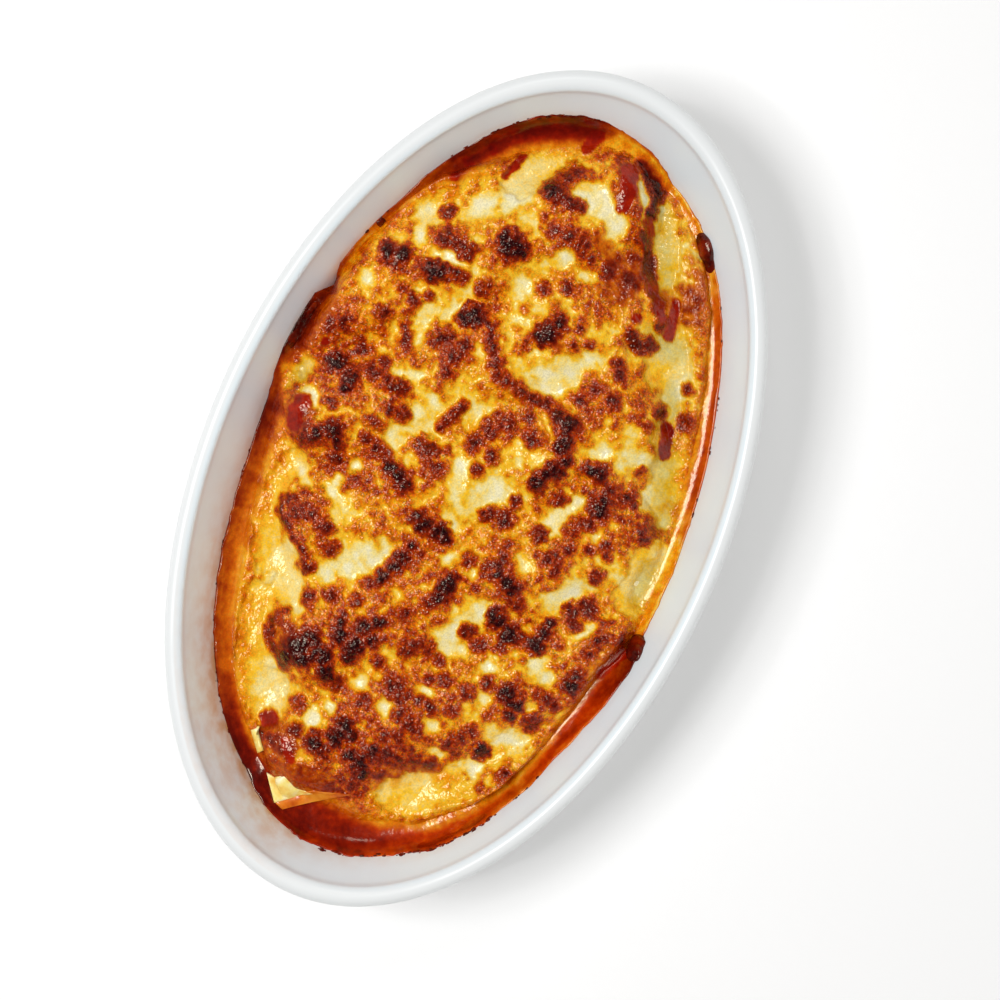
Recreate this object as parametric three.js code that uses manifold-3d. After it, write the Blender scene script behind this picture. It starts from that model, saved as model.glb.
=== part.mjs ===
// Baked cannelloni in an oval stoneware gratin dish, in millimetres, +Z up.
// The origin is the middle of the dish's foot, and +X runs along the dish's length.
// Five filled pasta rolls lie side by side across the dish in tomato sauce. One browned crust of melted cheese
// covers them.
import * as THREE from "three";
import { mergeVertices } from "three/addons/utils/BufferGeometryUtils.js";
import Module from "manifold-3d";

const wasm = await Module();
wasm.setup();

// The dish, outside sizes
const DISH_LENGTH = 260;
const DISH_WIDTH = 156.5;
const DISH_HEIGHT = 50;
const DISH_SIDES = 64;
const CURVE_STEPS = 3; // straight steps in each curve of the dish's section
const FLOOR_THICKNESS = 6;
const RIM_RADIUS = 2.9;
const END_FLARE = 1.12; // the walls lean out a little more at the two ends than along the sides
const SIDE_FLARE = 0.92;
const WALL_TOP_INSET = 6.4; // where the inside of the wall turns into the rim
const WALL_TOP_HEIGHT = 45.4;
const OUTER_WALL_TOP_HEIGHT = 42;
const WALL_FOOT_INSET = 20; // where it turns into the floor
const WALL_FOOT_HEIGHT = 15;
const FLOOR_CORNER_INSET = 33; // where the inside corner has run out into the flat floor
const CORNER_PULL_INSET = 24; // how tightly the inside corner bends
const WALL_THICKNESS = 5.5;
const FOOT_OUTER_INSET = 27;
const FOOT_WIDTH = 5;
const FOOT_HEIGHT = 2.2;
const FOOT_FILLET = 1.5;
const FOOT_RECESS = 1.6;
const AXIS_INSET = DISH_LENGTH / 2; // an inset this large is the dish's axis

// The food
const GAP = 0.3; // between pieces that touch
const ROLL_WIDTH = 30;
const ROLL_HEIGHT = 26.5;
const ROLL_BASE = 8.6; // height of the rolls' undersides, on a film of sauce
const ROLL_PITCH = 31.5;
const ROLL_TURN = THREE.MathUtils.degToRad(-48); // from the dish's length to the rolls' own length
const FIRST_ROLL_ACROSS = -60;
const ROLL_SQUARENESS = 2.5;
const ROLL_CORNERS = 18;
const ROLL_END_ROUNDING = 2;
const PASTA_THICKNESS = 2;
const MOUTH_DEPTH = 5; // from a bare end to the filling
const CRUST_OVERLAP = 3.5; // how far the crust reaches past a roll's covered end
const BARE_LENGTH = 1; // how far it stops short of a bare end

// Each roll's two ends along its length, and which of them the crust leaves bare
const ROLLS = [
  { start: -83, end: 36, bareStart: true },
  { start: -66, end: 48 },
  { start: -54, end: 61 },
  { start: -41, end: 72 },
  { start: -30, end: 81, bareEnd: true },
];

const WALL_CLEARANCE = 1.6; // sauce between a roll and the dish
const SAUCE_LEVEL = 26; // between the rolls
const SAUCE_EDGE_RISE = 3.5; // round the rolls' ends
const SAUCE_RIPPLE = 0.5;
const SAUCE_RIPPLE_SIZE = 12;
const CRUST_THICKNESS = 2.3;
const CRUST_EDGE_THICKNESS = 1.9;
const CRUST_END_SQUARENESS = 24;
const CRUST_DRAPE = 1.7; // how softly the crust bridges two rolls
const CRUST_SINK = 0.4; // takes back what the draping adds
const VALLEY_LEVEL = 34; // the crust between two rolls, in the middle of the dish
const VALLEY_FALL = 6.5; // how much lower that is at the rolls' ends
const LUMP_SIZE = 9.5;
const LUMP_HEIGHT = 1.9;
const FOOD_LENGTH = 236; // the food's plan, with some to spare for trimming to the dish
const FOOD_WIDTH = 137;
const TRIM = 1.5;

// How far out things lie, from 0 in the middle of the food to 1 at its edge
const ROLL_ENDS_ZONE = [0.62, 0.82];
const WALL_ZONE = [0.83, 0.99];
const VALLEY_FALL_ZONE = [0.55, 0.85];
const SMOOTH_ZONE = [0.8, 1];

const CRUST_GRID = [50, 29]; // cells along and across the food
const SAUCE_GRID = [30, 18];

// The width of bare sauce between the crust and the dish, at angles round the dish in degrees
const SAUCE_BAND = [
  [-180, 11], [-160, 8], [-150, 5.5], [-138, 4], [-120, 4], [-108, 4.5], [-99, 1.2], [-86, 2.8], [-77, 5],
  [-52, 5], [-42, 3.4], [-32, 3], [-20, 4], [-13, 9.5], [-4, 3], [8, 7.5], [29, 8], [38, 5], [47, 2.2],
  [58, 1.5], [80, 2], [102, 7], [124, 8], [146, 7.5], [160, 6], [170, 9],
];

// The height at which the sauce's edge has baked on to the dish's wall, at the same kind of angles
const SAUCE_EDGE = [
  [-180, 32.5], [-160, 33.8], [-146, 36.5], [-134, 35.3], [-120, 33.4], [-106, 36.6], [-97, 32], [-84, 30],
  [-62, 29.8], [-42, 30.8], [-16, 27], [-2, 31.8], [12, 35], [25, 35.6], [38, 33.3], [49, 31.4], [62, 33],
  [77, 35.4], [89, 27.2], [106, 27.4], [117, 29.6], [138, 31], [158, 28.7], [172, 32.2],
];

const smoothstep = (low, high, x) => THREE.MathUtils.smoothstep(x, low, high);

// The two half lengths of the oval that lies a given inset inside the rim's outer edge.
function halfAxes(inset) {
  const wall = Math.min(inset, FLOOR_CORNER_INSET);
  const toAxis = 1 - (inset - wall) / (AXIS_INSET - FLOOR_CORNER_INSET);
  return [
    (DISH_LENGTH / 2 - END_FLARE * wall) * toAxis,
    (DISH_WIDTH / 2 - SIDE_FLARE * wall) * toAxis,
  ];
}

// A profile of (inset, height) points turned round the axis, each ring then squeezed to the dish's oval.
function ovalLathe(profile) {
  const round = profile.map((p) => new THREE.Vector2(halfAxes(p.x)[0], p.y));
  const geometry = new THREE.LatheGeometry(round, DISH_SIDES);
  const position = geometry.getAttribute("position");
  for (let i = 0; i < position.count; i++) {
    const [halfLength, halfWidth] = halfAxes(profile[i % profile.length].x);
    const squeeze = halfLength > 0 ? halfWidth / halfLength : 1;
    position.setX(i, position.getX(i) * squeeze);
  }
  geometry.rotateX(Math.PI / 2);
  geometry.rotateZ(Math.PI / 2);
  return geometry;
}

// A closed geometry as a solid, its doubled vertices merged.
function solidOf(geometry) {
  const bare = geometry.index ? geometry.toNonIndexed() : geometry.clone();
  bare.deleteAttribute("normal");
  bare.deleteAttribute("uv");
  const merged = mergeVertices(bare, 1e-3);
  const corners = merged.index.array;
  const kept = [];
  for (let i = 0; i < corners.length; i += 3) {
    const [a, b, c] = [corners[i], corners[i + 1], corners[i + 2]];
    if (a !== b && b !== c && c !== a) kept.push(a, b, c);
  }
  const vertProperties = new Float32Array(merged.getAttribute("position").array);
  return new wasm.Manifold(new wasm.Mesh({ numProp: 3, vertProperties, triVerts: new Uint32Array(kept) }));
}

// A solid's largest body as a geometry; scraps that a cut left loose are dropped.
function geometryOf(solid) {
  const largest = solid.decompose().sort((a, b) => b.volume() - a.volume())[0];
  const mesh = largest.getMesh();
  const geometry = new THREE.BufferGeometry();
  geometry.setAttribute("position", new THREE.BufferAttribute(mesh.vertProperties, 3));
  geometry.setIndex(new THREE.BufferAttribute(mesh.triVerts, 1));
  geometry.computeVertexNormals();
  return geometry;
}

function named(name, geometry, material) {
  const mesh = new THREE.Mesh(geometry, material);
  mesh.name = name;
  return mesh;
}

// The inside of the dish, from the floor's middle up the wall: a path of (inset, height) points.
function insideProfile(clearance) {
  const floor = FLOOR_THICKNESS + clearance;
  const path = new THREE.Path();
  path.moveTo(AXIS_INSET, floor);
  path.lineTo(FLOOR_CORNER_INSET + clearance, floor);
  path.quadraticCurveTo(CORNER_PULL_INSET + clearance, floor, WALL_FOOT_INSET + clearance, WALL_FOOT_HEIGHT);
  path.lineTo(WALL_TOP_INSET + clearance, WALL_TOP_HEIGHT);
  return path;
}

// The dish: floor, flared wall with a rounded bead for a rim, and a foot ring round a shallow recess.
function dishGeometry() {
  const section = insideProfile(0);
  const crest = DISH_HEIGHT - RIM_RADIUS;
  section.lineTo(RIM_RADIUS * 2, crest);
  section.absarc(RIM_RADIUS, crest, RIM_RADIUS, 0, Math.PI, false);
  section.quadraticCurveTo(0, crest - RIM_RADIUS, RIM_RADIUS, OUTER_WALL_TOP_HEIGHT);
  section.lineTo(WALL_FOOT_INSET - WALL_THICKNESS, WALL_FOOT_HEIGHT);
  section.quadraticCurveTo(WALL_FOOT_INSET - 2, FOOT_HEIGHT, FOOT_OUTER_INSET - FOOT_FILLET, FOOT_HEIGHT);
  section.lineTo(FOOT_OUTER_INSET, 0);
  section.lineTo(FOOT_OUTER_INSET + FOOT_WIDTH, 0);
  section.lineTo(FOOT_OUTER_INSET + FOOT_WIDTH + FOOT_FILLET, FOOT_RECESS);
  section.lineTo(AXIS_INSET, FOOT_RECESS);
  return ovalLathe(section.getPoints(CURVE_STEPS).reverse());
}

// The space inside the dish, a clearance off its surface.
function cavity(clearance) {
  const path = insideProfile(clearance);
  path.lineTo(AXIS_INSET, WALL_TOP_HEIGHT);
  return solidOf(ovalLathe(path.getPoints(CURVE_STEPS)));
}

// A repeatable number from 0 to 1 for each whole-numbered place.
function drawAt(i, j, layer) {
  const wave = Math.sin(i * 127.1 + j * 311.7 + layer * 74.7) * 43758.5453;
  return wave - Math.floor(wave);
}

// Smooth lumps of about the given size, from -1 to 1.
function lumps(x, y, size, layer) {
  const [u, v] = [x / size, y / size];
  const [i, j] = [Math.floor(u), Math.floor(v)];
  const [a, b] = [smoothstep(0, 1, u - i), smoothstep(0, 1, v - j)];
  const near = THREE.MathUtils.lerp(drawAt(i, j, layer), drawAt(i + 1, j, layer), a);
  const far = THREE.MathUtils.lerp(drawAt(i, j + 1, layer), drawAt(i + 1, j + 1, layer), a);
  return 2 * THREE.MathUtils.lerp(near, far, b) - 1;
}

// How far out a place is: 0 in the middle of the food and 1 at its edge.
const outwards = (x, y) => Math.hypot(x / (FOOD_LENGTH / 2), y / (FOOD_WIDTH / 2));

// The value at an angle, in radians, blended from the nearest stated values on each side.
function roundTheDish(table, angle) {
  const degrees = THREE.MathUtils.radToDeg(angle);
  const after = table.findIndex(([a]) => a > degrees);
  const [a1, v1] = table.at(after - 1);
  const [a2, v2] = after < 0 ? [180, table[0][1]] : table[after];
  return THREE.MathUtils.lerp(v1, v2, smoothstep(a1, a2, degrees));
}

// The sauce's surface: level between the rolls, higher round their ends, and climbing or falling to its baked edge.
function sauceHeight(x, y) {
  const out = outwards(x, y);
  const level = SAUCE_LEVEL + SAUCE_EDGE_RISE * smoothstep(...ROLL_ENDS_ZONE, out);
  const edge = roundTheDish(SAUCE_EDGE, Math.atan2(y / FOOD_WIDTH, x / FOOD_LENGTH));
  const ripple = SAUCE_RIPPLE * lumps(x, y, SAUCE_RIPPLE_SIZE, 3) * smoothstep(...ROLL_ENDS_ZONE, out);
  return THREE.MathUtils.lerp(level, edge, smoothstep(...WALL_ZONE, out)) + ripple;
}

// Where a place lies along and across the rolls.
function inRollFrame(x, y) {
  const [c, s] = [Math.cos(ROLL_TURN), Math.sin(ROLL_TURN)];
  return [x * c + y * s, -x * s + y * c];
}

const rollAcross = (roll) => FIRST_ROLL_ACROSS + ROLL_PITCH * roll;

// The height of one roll's back where the crust covers it, falling away at its sides and its two ends.
function rollBack(roll, along, across) {
  const { start, end, bareStart, bareEnd } = ROLLS[roll];
  const from = start + (bareStart ? BARE_LENGTH : -CRUST_OVERLAP);
  const to = end + (bareEnd ? -BARE_LENGTH : CRUST_OVERLAP);
  const side = Math.abs(across - rollAcross(roll)) / (ROLL_WIDTH / 2 + CRUST_THICKNESS);
  const run = Math.abs(along - (from + to) / 2) / ((to - from) / 2);
  const fullness = 1 - side ** ROLL_SQUARENESS - run ** CRUST_END_SQUARENESS;
  const half = ROLL_HEIGHT / 2;
  return ROLL_BASE + half + half * (fullness > 0 ? fullness ** (1 / ROLL_SQUARENESS) : -1);
}

// The crust's top: it drapes over the rolls, sinks between them and runs down to the sauce at their ends.
function crustHeight(x, y) {
  const [along, across] = inRollFrame(x, y);
  const backs = ROLLS.map((_, roll) => rollBack(roll, along, across) + CRUST_THICKNESS);
  const valley = VALLEY_LEVEL - VALLEY_FALL * smoothstep(...VALLEY_FALL_ZONE, outwards(x, y));
  const levels = [sauceHeight(x, y) + CRUST_EDGE_THICKNESS, valley, ...backs];
  const draped = CRUST_DRAPE * Math.log(levels.reduce((sum, z) => sum + Math.exp(z / CRUST_DRAPE), 0));
  const relief = lumps(x, y, LUMP_SIZE, 1) * 0.6 + lumps(x, y, LUMP_SIZE / 2, 2) * 0.4;
  const inner = 1 - smoothstep(...SMOOTH_ZONE, outwards(x, y));
  return draped - CRUST_SINK + LUMP_HEIGHT * relief * inner;
}

// A block with an oval plan, flat below and with its top at the height that a function gives.
// plan says how much of the food's half lengths the block reaches at an angle.
function ovalBlock([lengthwise, widthwise], base, plan, height) {
  const geometry = new THREE.BoxGeometry(2, 2, 2, lengthwise, widthwise, 1);
  const position = geometry.getAttribute("position");
  for (let i = 0; i < position.count; i++) {
    const [u, v, top] = [position.getX(i), position.getY(i), position.getZ(i) > 0];
    const onOval = [u * Math.sqrt(1 - (v * v) / 2), v * Math.sqrt(1 - (u * u) / 2)];
    const reach = 1 - (1 - plan(Math.atan2(onOval[1], onOval[0]))) * Math.hypot(...onOval) ** 3;
    const [x, y] = [(onOval[0] * reach * FOOD_LENGTH) / 2, (onOval[1] * reach * FOOD_WIDTH) / 2];
    position.setXYZ(i, x, y, top ? height(x, y) : base);
  }
  return solidOf(geometry);
}

// A roll's cross-section, a rounded square lying flat, larger by a margin all round.
function rollSection(margin) {
  const section = new THREE.Shape();
  for (let i = 0; i < ROLL_CORNERS; i++) {
    const turn = (2 * Math.PI * (i + 0.5)) / ROLL_CORNERS;
    const bend = (c) => Math.sign(c) * Math.abs(c) ** (2 / ROLL_SQUARENESS);
    const x = (ROLL_WIDTH / 2 + margin) * bend(Math.cos(turn));
    const y = (ROLL_HEIGHT / 2 + margin) * bend(Math.sin(turn));
    if (i === 0) section.moveTo(x, y);
    else section.lineTo(x, y);
  }
  return section;
}

// A straight bar of a roll's section between two places along the roll, with its ends' edges rounded.
function rollBar(roll, margin, start, end) {
  const rounding = ROLL_END_ROUNDING;
  const geometry = new THREE.ExtrudeGeometry(rollSection(margin), {
    depth: end - start - 2 * rounding,
    bevelThickness: rounding,
    bevelSize: rounding / 2,
    bevelOffset: -rounding / 2,
    bevelSegments: 1,
  });
  geometry.translate(0, 0, start + rounding);
  geometry.rotateX(Math.PI / 2);
  geometry.rotateZ(Math.PI / 2);
  geometry.translate(0, rollAcross(roll), ROLL_BASE + ROLL_HEIGHT / 2);
  geometry.rotateZ(ROLL_TURN);
  return solidOf(geometry);
}

// The hollow mouths at a roll's bare ends, smaller by a clearance all round.
function rollMouths(roll, clearance) {
  const { start, end, bareStart, bareEnd } = ROLLS[roll];
  const margin = -PASTA_THICKNESS - clearance;
  const outside = ROLL_END_ROUNDING * 2;
  const mouths = [];
  if (bareStart) mouths.push(rollBar(roll, margin, start - outside, start + MOUTH_DEPTH - clearance));
  if (bareEnd) mouths.push(rollBar(roll, margin, end - MOUTH_DEPTH + clearance, end + outside));
  return mouths;
}

// A filled pasta roll, pressed to the dish's shape where it meets the wall.
function rollSolid(roll) {
  const { start, end } = ROLLS[roll];
  const pressed = rollBar(roll, 0, start, end).intersect(cavity(WALL_CLEARANCE));
  return rollMouths(roll, 0).reduce((left, mouth) => left.subtract(mouth), pressed);
}

// A roll's place in the sauce and the crust, a gap wider than the roll.
function rollHole(roll) {
  const { start, end } = ROLLS[roll];
  const whole = rollBar(roll, GAP, start - GAP, end + GAP);
  return rollMouths(roll, GAP).reduce((left, mouth) => left.subtract(mouth), whole);
}

const stoneware = new THREE.MeshStandardMaterial({ color: 0xf1f1ee, roughness: 0.18, metalness: 0 });
const tomato = new THREE.MeshStandardMaterial({ color: 0x9e2a0c, roughness: 0.3, metalness: 0 });
const pasta = new THREE.MeshStandardMaterial({ color: 0xe8c66a, roughness: 0.5, metalness: 0 });
const gratin = new THREE.MeshStandardMaterial({ color: 0xc9822f, roughness: 0.45, metalness: 0 });

const rolls = [...ROLLS.keys()];
const inside = cavity(GAP);
const sauceBlock = (raise) => ovalBlock(SAUCE_GRID, 0, () => 1.06, (x, y) => sauceHeight(x, y) + raise);
const withoutRolls = (solid) => rolls.reduce((left, roll) => left.subtract(rollHole(roll)), solid);
const toEdge = (angle) => Math.hypot((FOOD_LENGTH / 2) * Math.cos(angle), (FOOD_WIDTH / 2) * Math.sin(angle));
const crustPlan = (angle) => 1 - (roundTheDish(SAUCE_BAND, angle) + TRIM) / toEdge(angle);
const crustBlock = ovalBlock(CRUST_GRID, SAUCE_LEVEL - 6, crustPlan, crustHeight);

const dish = named("dish", dishGeometry(), stoneware);
const sauce = named("tomato_sauce", geometryOf(withoutRolls(sauceBlock(0).intersect(inside))), tomato);
const crust = named(
  "cheese_crust",
  geometryOf(withoutRolls(crustBlock.subtract(sauceBlock(GAP)).intersect(inside))),
  gratin,
);
const cannelloni = rolls.map((roll) => named(`cannelloni_${roll + 1}`, geometryOf(rollSolid(roll)), pasta));

const group = new THREE.Group();
group.add(dish, sauce, ...cannelloni, crust);

export default group;
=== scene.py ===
import math

import bpy
import numpy as np
from mathutils import Matrix, Vector
from mathutils.bvhtree import BVHTree


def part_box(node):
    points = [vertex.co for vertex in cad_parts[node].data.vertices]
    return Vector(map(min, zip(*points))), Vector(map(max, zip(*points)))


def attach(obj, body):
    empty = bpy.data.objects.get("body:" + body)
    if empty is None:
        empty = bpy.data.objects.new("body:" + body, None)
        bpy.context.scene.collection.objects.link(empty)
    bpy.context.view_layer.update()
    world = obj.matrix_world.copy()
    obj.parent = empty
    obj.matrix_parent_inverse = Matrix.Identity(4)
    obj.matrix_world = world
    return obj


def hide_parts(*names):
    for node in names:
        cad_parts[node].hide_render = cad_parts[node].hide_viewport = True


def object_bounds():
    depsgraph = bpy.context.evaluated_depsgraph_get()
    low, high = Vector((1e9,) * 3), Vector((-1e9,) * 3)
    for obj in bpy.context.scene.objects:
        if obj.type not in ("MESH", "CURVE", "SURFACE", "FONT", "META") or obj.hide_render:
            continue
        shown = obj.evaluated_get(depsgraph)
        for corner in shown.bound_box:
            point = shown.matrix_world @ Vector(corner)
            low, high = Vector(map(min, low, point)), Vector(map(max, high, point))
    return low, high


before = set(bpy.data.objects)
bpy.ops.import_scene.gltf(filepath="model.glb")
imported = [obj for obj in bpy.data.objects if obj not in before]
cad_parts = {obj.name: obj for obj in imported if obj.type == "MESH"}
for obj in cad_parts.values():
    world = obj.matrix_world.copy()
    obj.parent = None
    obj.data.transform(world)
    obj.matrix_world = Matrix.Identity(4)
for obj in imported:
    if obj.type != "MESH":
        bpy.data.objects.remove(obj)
cad_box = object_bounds()

# The studio. The dish stands on a plain white table and is seen through a long lens from almost straight above.
# A soft lamp hangs to the picture's left, a weaker one at its top, and white surroundings fill the shadows.
LENGTH_TURN = math.radians(66.4)  # from the picture's right to the dish's length
CAMERA_LEAN = math.radians(4.6)
LENS = 85.0
SENSOR = 36.0
PICTURE = 1000
PIXEL_AT_RIM = 0.0002925  # metres of the dish in one pixel of the picture
DISH_CENTRE_PIXEL = (464.5, 495.0)
RIM_HEIGHT = cad_box[1].z
TABLE_SIZE = 8.0
TABLE_GAP = 0.0002  # under the foot
TABLE_GLOW = 0.09
LAMP_HEIGHT_ANGLE = math.radians(65)
LAMP_TOWARDS_TOP = math.radians(10)
LAMP_DISTANCE = 1.1
LAMP_SIZE = 0.40
LAMP_POWER = 5.8
BULB_COUNT = 5  # bare bulbs in front of the lamp's screen, which gloss mirrors as sparks
BULB_RING = 0.14
BULB_SIZE = 0.03
BULB_POWER = 0.24
BULB_NEARNESS = 0.98  # of the lamp's distance
TOP_LAMP_HEIGHT_ANGLE = math.radians(58)
TOP_LAMP_SIZE = 0.22
TOP_LAMP_POWER = 0.8
FILL_STRENGTH = 0.38
MIRRORED_FILL = 0.015  # the surroundings as gloss mirrors them: mostly the dark room behind the white screens
REFLECTOR_HEIGHT_ANGLE = math.radians(22)  # of the white card that stands opposite the lamp
REFLECTOR_STRENGTH = 0.55
REFLECTOR_SPREAD = (0.45, 0.95)  # from its faint edge to its full strength, as cosines off its middle

straight_up = Vector((0, 0, 1))
picture_right = Vector((math.cos(LENGTH_TURN), -math.sin(LENGTH_TURN), 0))
picture_top = Vector((math.sin(LENGTH_TURN), math.cos(LENGTH_TURN), 0))
sight = -(math.cos(CAMERA_LEAN) * straight_up + math.sin(CAMERA_LEAN) * picture_top)
camera_up = math.cos(CAMERA_LEAN) * picture_top - math.sin(CAMERA_LEAN) * straight_up
camera_place = (
    RIM_HEIGHT * straight_up
    - (DISH_CENTRE_PIXEL[0] - PICTURE / 2) * PIXEL_AT_RIM * picture_right
    - (PICTURE / 2 - DISH_CENTRE_PIXEL[1]) * PIXEL_AT_RIM * camera_up
    - PICTURE * PIXEL_AT_RIM * LENS / SENSOR * sight
)


def seen_at(pixel_x, pixel_y, height):
    """The place at a height that shows at a pixel of the picture."""
    ray = (
        PICTURE * LENS / SENSOR * sight
        + (pixel_x - PICTURE / 2) * picture_right
        + (PICTURE / 2 - pixel_y) * camera_up
    )
    return camera_place + ray * ((height - camera_place.z) / ray.z)


def raised_towards(side, angle):
    """The direction to a side, lifted by an angle."""
    return math.cos(angle) * side + math.sin(angle) * straight_up


def hang_lamp(name, place, direction, size, power, shape="DISK"):
    """An area lamp at a place that shines against a direction."""
    bpy.ops.object.light_add(type="AREA", location=place, rotation=direction.to_track_quat("Z", "Y").to_euler())
    hung = bpy.context.object
    hung.name = name
    hung.data.shape = shape
    hung.data.size = size
    hung.data.energy = power
    return hung


def add_node(tree, kind, inputs=None, **settings):
    """A shader node with its settings, each input given as a value or as the socket that feeds it."""
    made = tree.nodes.new(kind)
    for name, value in settings.items():
        setattr(made, name, value)
    for name, value in (inputs or {}).items():
        if isinstance(value, bpy.types.NodeSocket):
            tree.links.new(value, made.inputs[name])
        else:
            made.inputs[name].default_value = value
    return made


def ranged(tree, value, from_low, from_high, to_low, to_high):
    """A value carried over from one range to another."""
    ends = {"From Min": from_low, "From Max": from_high, "To Min": to_low, "To Max": to_high}
    return add_node(tree, "ShaderNodeMapRange", {"Value": value, **ends}).outputs["Result"]


def blended(tree, share, first, second, kind="MIX"):
    """The colour between two, or with kind MULTIPLY the first one multiplied by the second, for stains and painted
    shade.
    """
    inputs = {"Factor": share, 6: first, 7: second}
    return add_node(tree, "ShaderNodeMix", inputs, data_type="RGBA", blend_type=kind).outputs[2]


def finish_of(name, **constants):
    """A new material: its node tree, its Principled shader with the given constants, and the material."""
    material = bpy.data.materials.new(name)
    material.use_nodes = True
    shader = material.node_tree.nodes["Principled BSDF"]
    for socket, value in constants.items():
        shader.inputs[socket.replace("_", " ")].default_value = value
    return material.node_tree, shader, material


def colour(red, green, blue):
    """A colour as a painter reads it, 0 to 255 each, as linear light."""
    shares = [c / 255 for c in (red, green, blue)]
    return tuple(c / 12.92 if c <= 0.04045 else ((c + 0.055) / 1.055) ** 2.4 for c in shares) + (1.0,)


def deselect():
    bpy.ops.object.select_all(action="DESELECT")


bpy.ops.object.camera_add(location=camera_place)
camera = bpy.context.object
camera.name = "camera"
camera.rotation_euler = Matrix((picture_right, camera_up, -sight)).transposed().to_euler()
camera.data.lens = LENS
camera.data.sensor_width = SENSOR
bpy.context.scene.camera = camera
bpy.context.scene.view_settings.view_transform = "Standard"

lamp_side = -math.cos(LAMP_TOWARDS_TOP) * picture_right + math.sin(LAMP_TOWARDS_TOP) * picture_top
lamp_direction = raised_towards(lamp_side, LAMP_HEIGHT_ANGLE)
lamp = hang_lamp("lamp", LAMP_DISTANCE * lamp_direction, lamp_direction, LAMP_SIZE, LAMP_POWER)
for number in range(BULB_COUNT):
    turn = 2 * math.pi * number / BULB_COUNT
    across = lamp.rotation_euler.to_matrix() @ Vector((math.cos(turn), math.sin(turn), 0))
    place = BULB_NEARNESS * LAMP_DISTANCE * lamp_direction + BULB_RING * across
    hang_lamp(f"bulb_{number + 1}", place, lamp_direction, BULB_SIZE, BULB_POWER)
top_direction = raised_towards(picture_top, TOP_LAMP_HEIGHT_ANGLE)
hang_lamp("top_lamp", LAMP_DISTANCE * top_direction, top_direction, TOP_LAMP_SIZE, TOP_LAMP_POWER, "SQUARE")

world = bpy.data.worlds.new("white_surroundings")
world.use_nodes = True
bpy.context.scene.world = world
tree = world.node_tree
ray = add_node(tree, "ShaderNodeLightPath")
outwards = add_node(tree, "ShaderNodeTexCoord").outputs["Generated"]
card_side = raised_towards(picture_right, REFLECTOR_HEIGHT_ANGLE)
towards_card = add_node(tree, "ShaderNodeVectorMath", {0: outwards, 1: card_side}, operation="DOT_PRODUCT")
fill = ranged(
    tree, towards_card.outputs["Value"], *REFLECTOR_SPREAD, FILL_STRENGTH, FILL_STRENGTH + REFLECTOR_STRENGTH
)
mirrored = ranged(tree, ray.outputs["Is Glossy Ray"], 0.0, 1.0, fill, MIRRORED_FILL)
shown = ranged(tree, ray.outputs["Is Camera Ray"], 0.0, 1.0, mirrored, 1.0)
background = tree.nodes["Background"]
background.inputs["Color"].default_value = colour(255, 254, 252)
tree.links.new(shown, background.inputs["Strength"])

deselect()
bpy.ops.mesh.primitive_plane_add(size=TABLE_SIZE, location=(0, 0, -TABLE_GAP))
table = bpy.context.object
table.name = "table"
tree, shader, table_finish = finish_of(
    "white_table", Roughness=0.7, Emission_Color=colour(255, 255, 255), Emission_Strength=TABLE_GLOW
)
mottle = add_node(tree, "ShaderNodeTexNoise", {"Scale": 3.0, "Detail": 2.0}).outputs["Fac"]
tree.links.new(blended(tree, mottle, colour(243, 243, 243), colour(246, 246, 246)), shader.inputs["Base Color"])
table.data.materials.append(table_finish)

# The dish: thick white stoneware with a clear gloss glaze, thrown as one oval with flared walls, a rounded bead for
# a rim and a foot ring left bare of glaze. Baking has left a thin film of fat on the wall above the food; on the
# lower left wall that stain also carries painted shade and reflection of the food.
dish_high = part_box("dish")[1]
END_FLARE = 1.12  # the walls lean out a little more at the two ends than along the sides
SIDE_FLARE = 0.92
FLOOR_TOP = 0.006
FLOOR_CORNER_INSET = 0.033
CORNER_PULL_INSET = 0.024
FLOOR_RINGS = (0.100, 0.060)  # insets of the rings that the floor and the underside are made of
WALL_FOOT = (0.020, 0.015)  # inset from the rim's outer edge, and height
WALL_TOP = (0.0064, 0.0454)
RIM_RADIUS = 0.0029
OUTER_WALL_TOP = 0.042
WALL_THICKNESS = 0.0055
FOOT_INSET = 0.027
FOOT_WIDTH = 0.005
FOOT_HEIGHT = 0.0022
FOOT_FILLET = 0.0015
FOOT_BEVEL = 0.0004
FOOT_RECESS = 0.0016
UNDERSIDE_PULL = 0.002
DISH_SIDES = 240
CORNER_STEPS, WALL_STEPS, BEAD_POINTS, LIP_STEPS, OUTER_STEPS = 10, 12, 17, 6, 8
FOOD_LIGHT_FADE = (0.965, 0.945)  # where the cooler white painted against the light that the food throws on the wall ends, as shares of the rim
GLAZE_ROUGHNESS = 0.28
BARE_ROUGHNESS = 0.8


def oval_at(inset):
    """The half length and half width of the oval that lies an inset inside the rim's outer edge."""
    wall = np.minimum(inset, FLOOR_CORNER_INSET)
    to_axis = 1 - (inset - wall) / (dish_high.x - FLOOR_CORNER_INSET)
    return (dish_high.x - END_FLARE * wall) * to_axis, (dish_high.y - SIDE_FLARE * wall) * to_axis


def bend(start, pull, end, steps):
    """The points of a curve from start to end that leans towards the pull point, without its start."""
    shares = [step / steps for step in range(1, steps + 1)]
    return [
        tuple((1 - t) ** 2 * a + 2 * t * (1 - t) * b + t * t * c for a, b, c in zip(start, pull, end))
        for t in shares
    ]


def halfway(start, end):
    return tuple((a + b) / 2 for a, b in zip(start, end))


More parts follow.
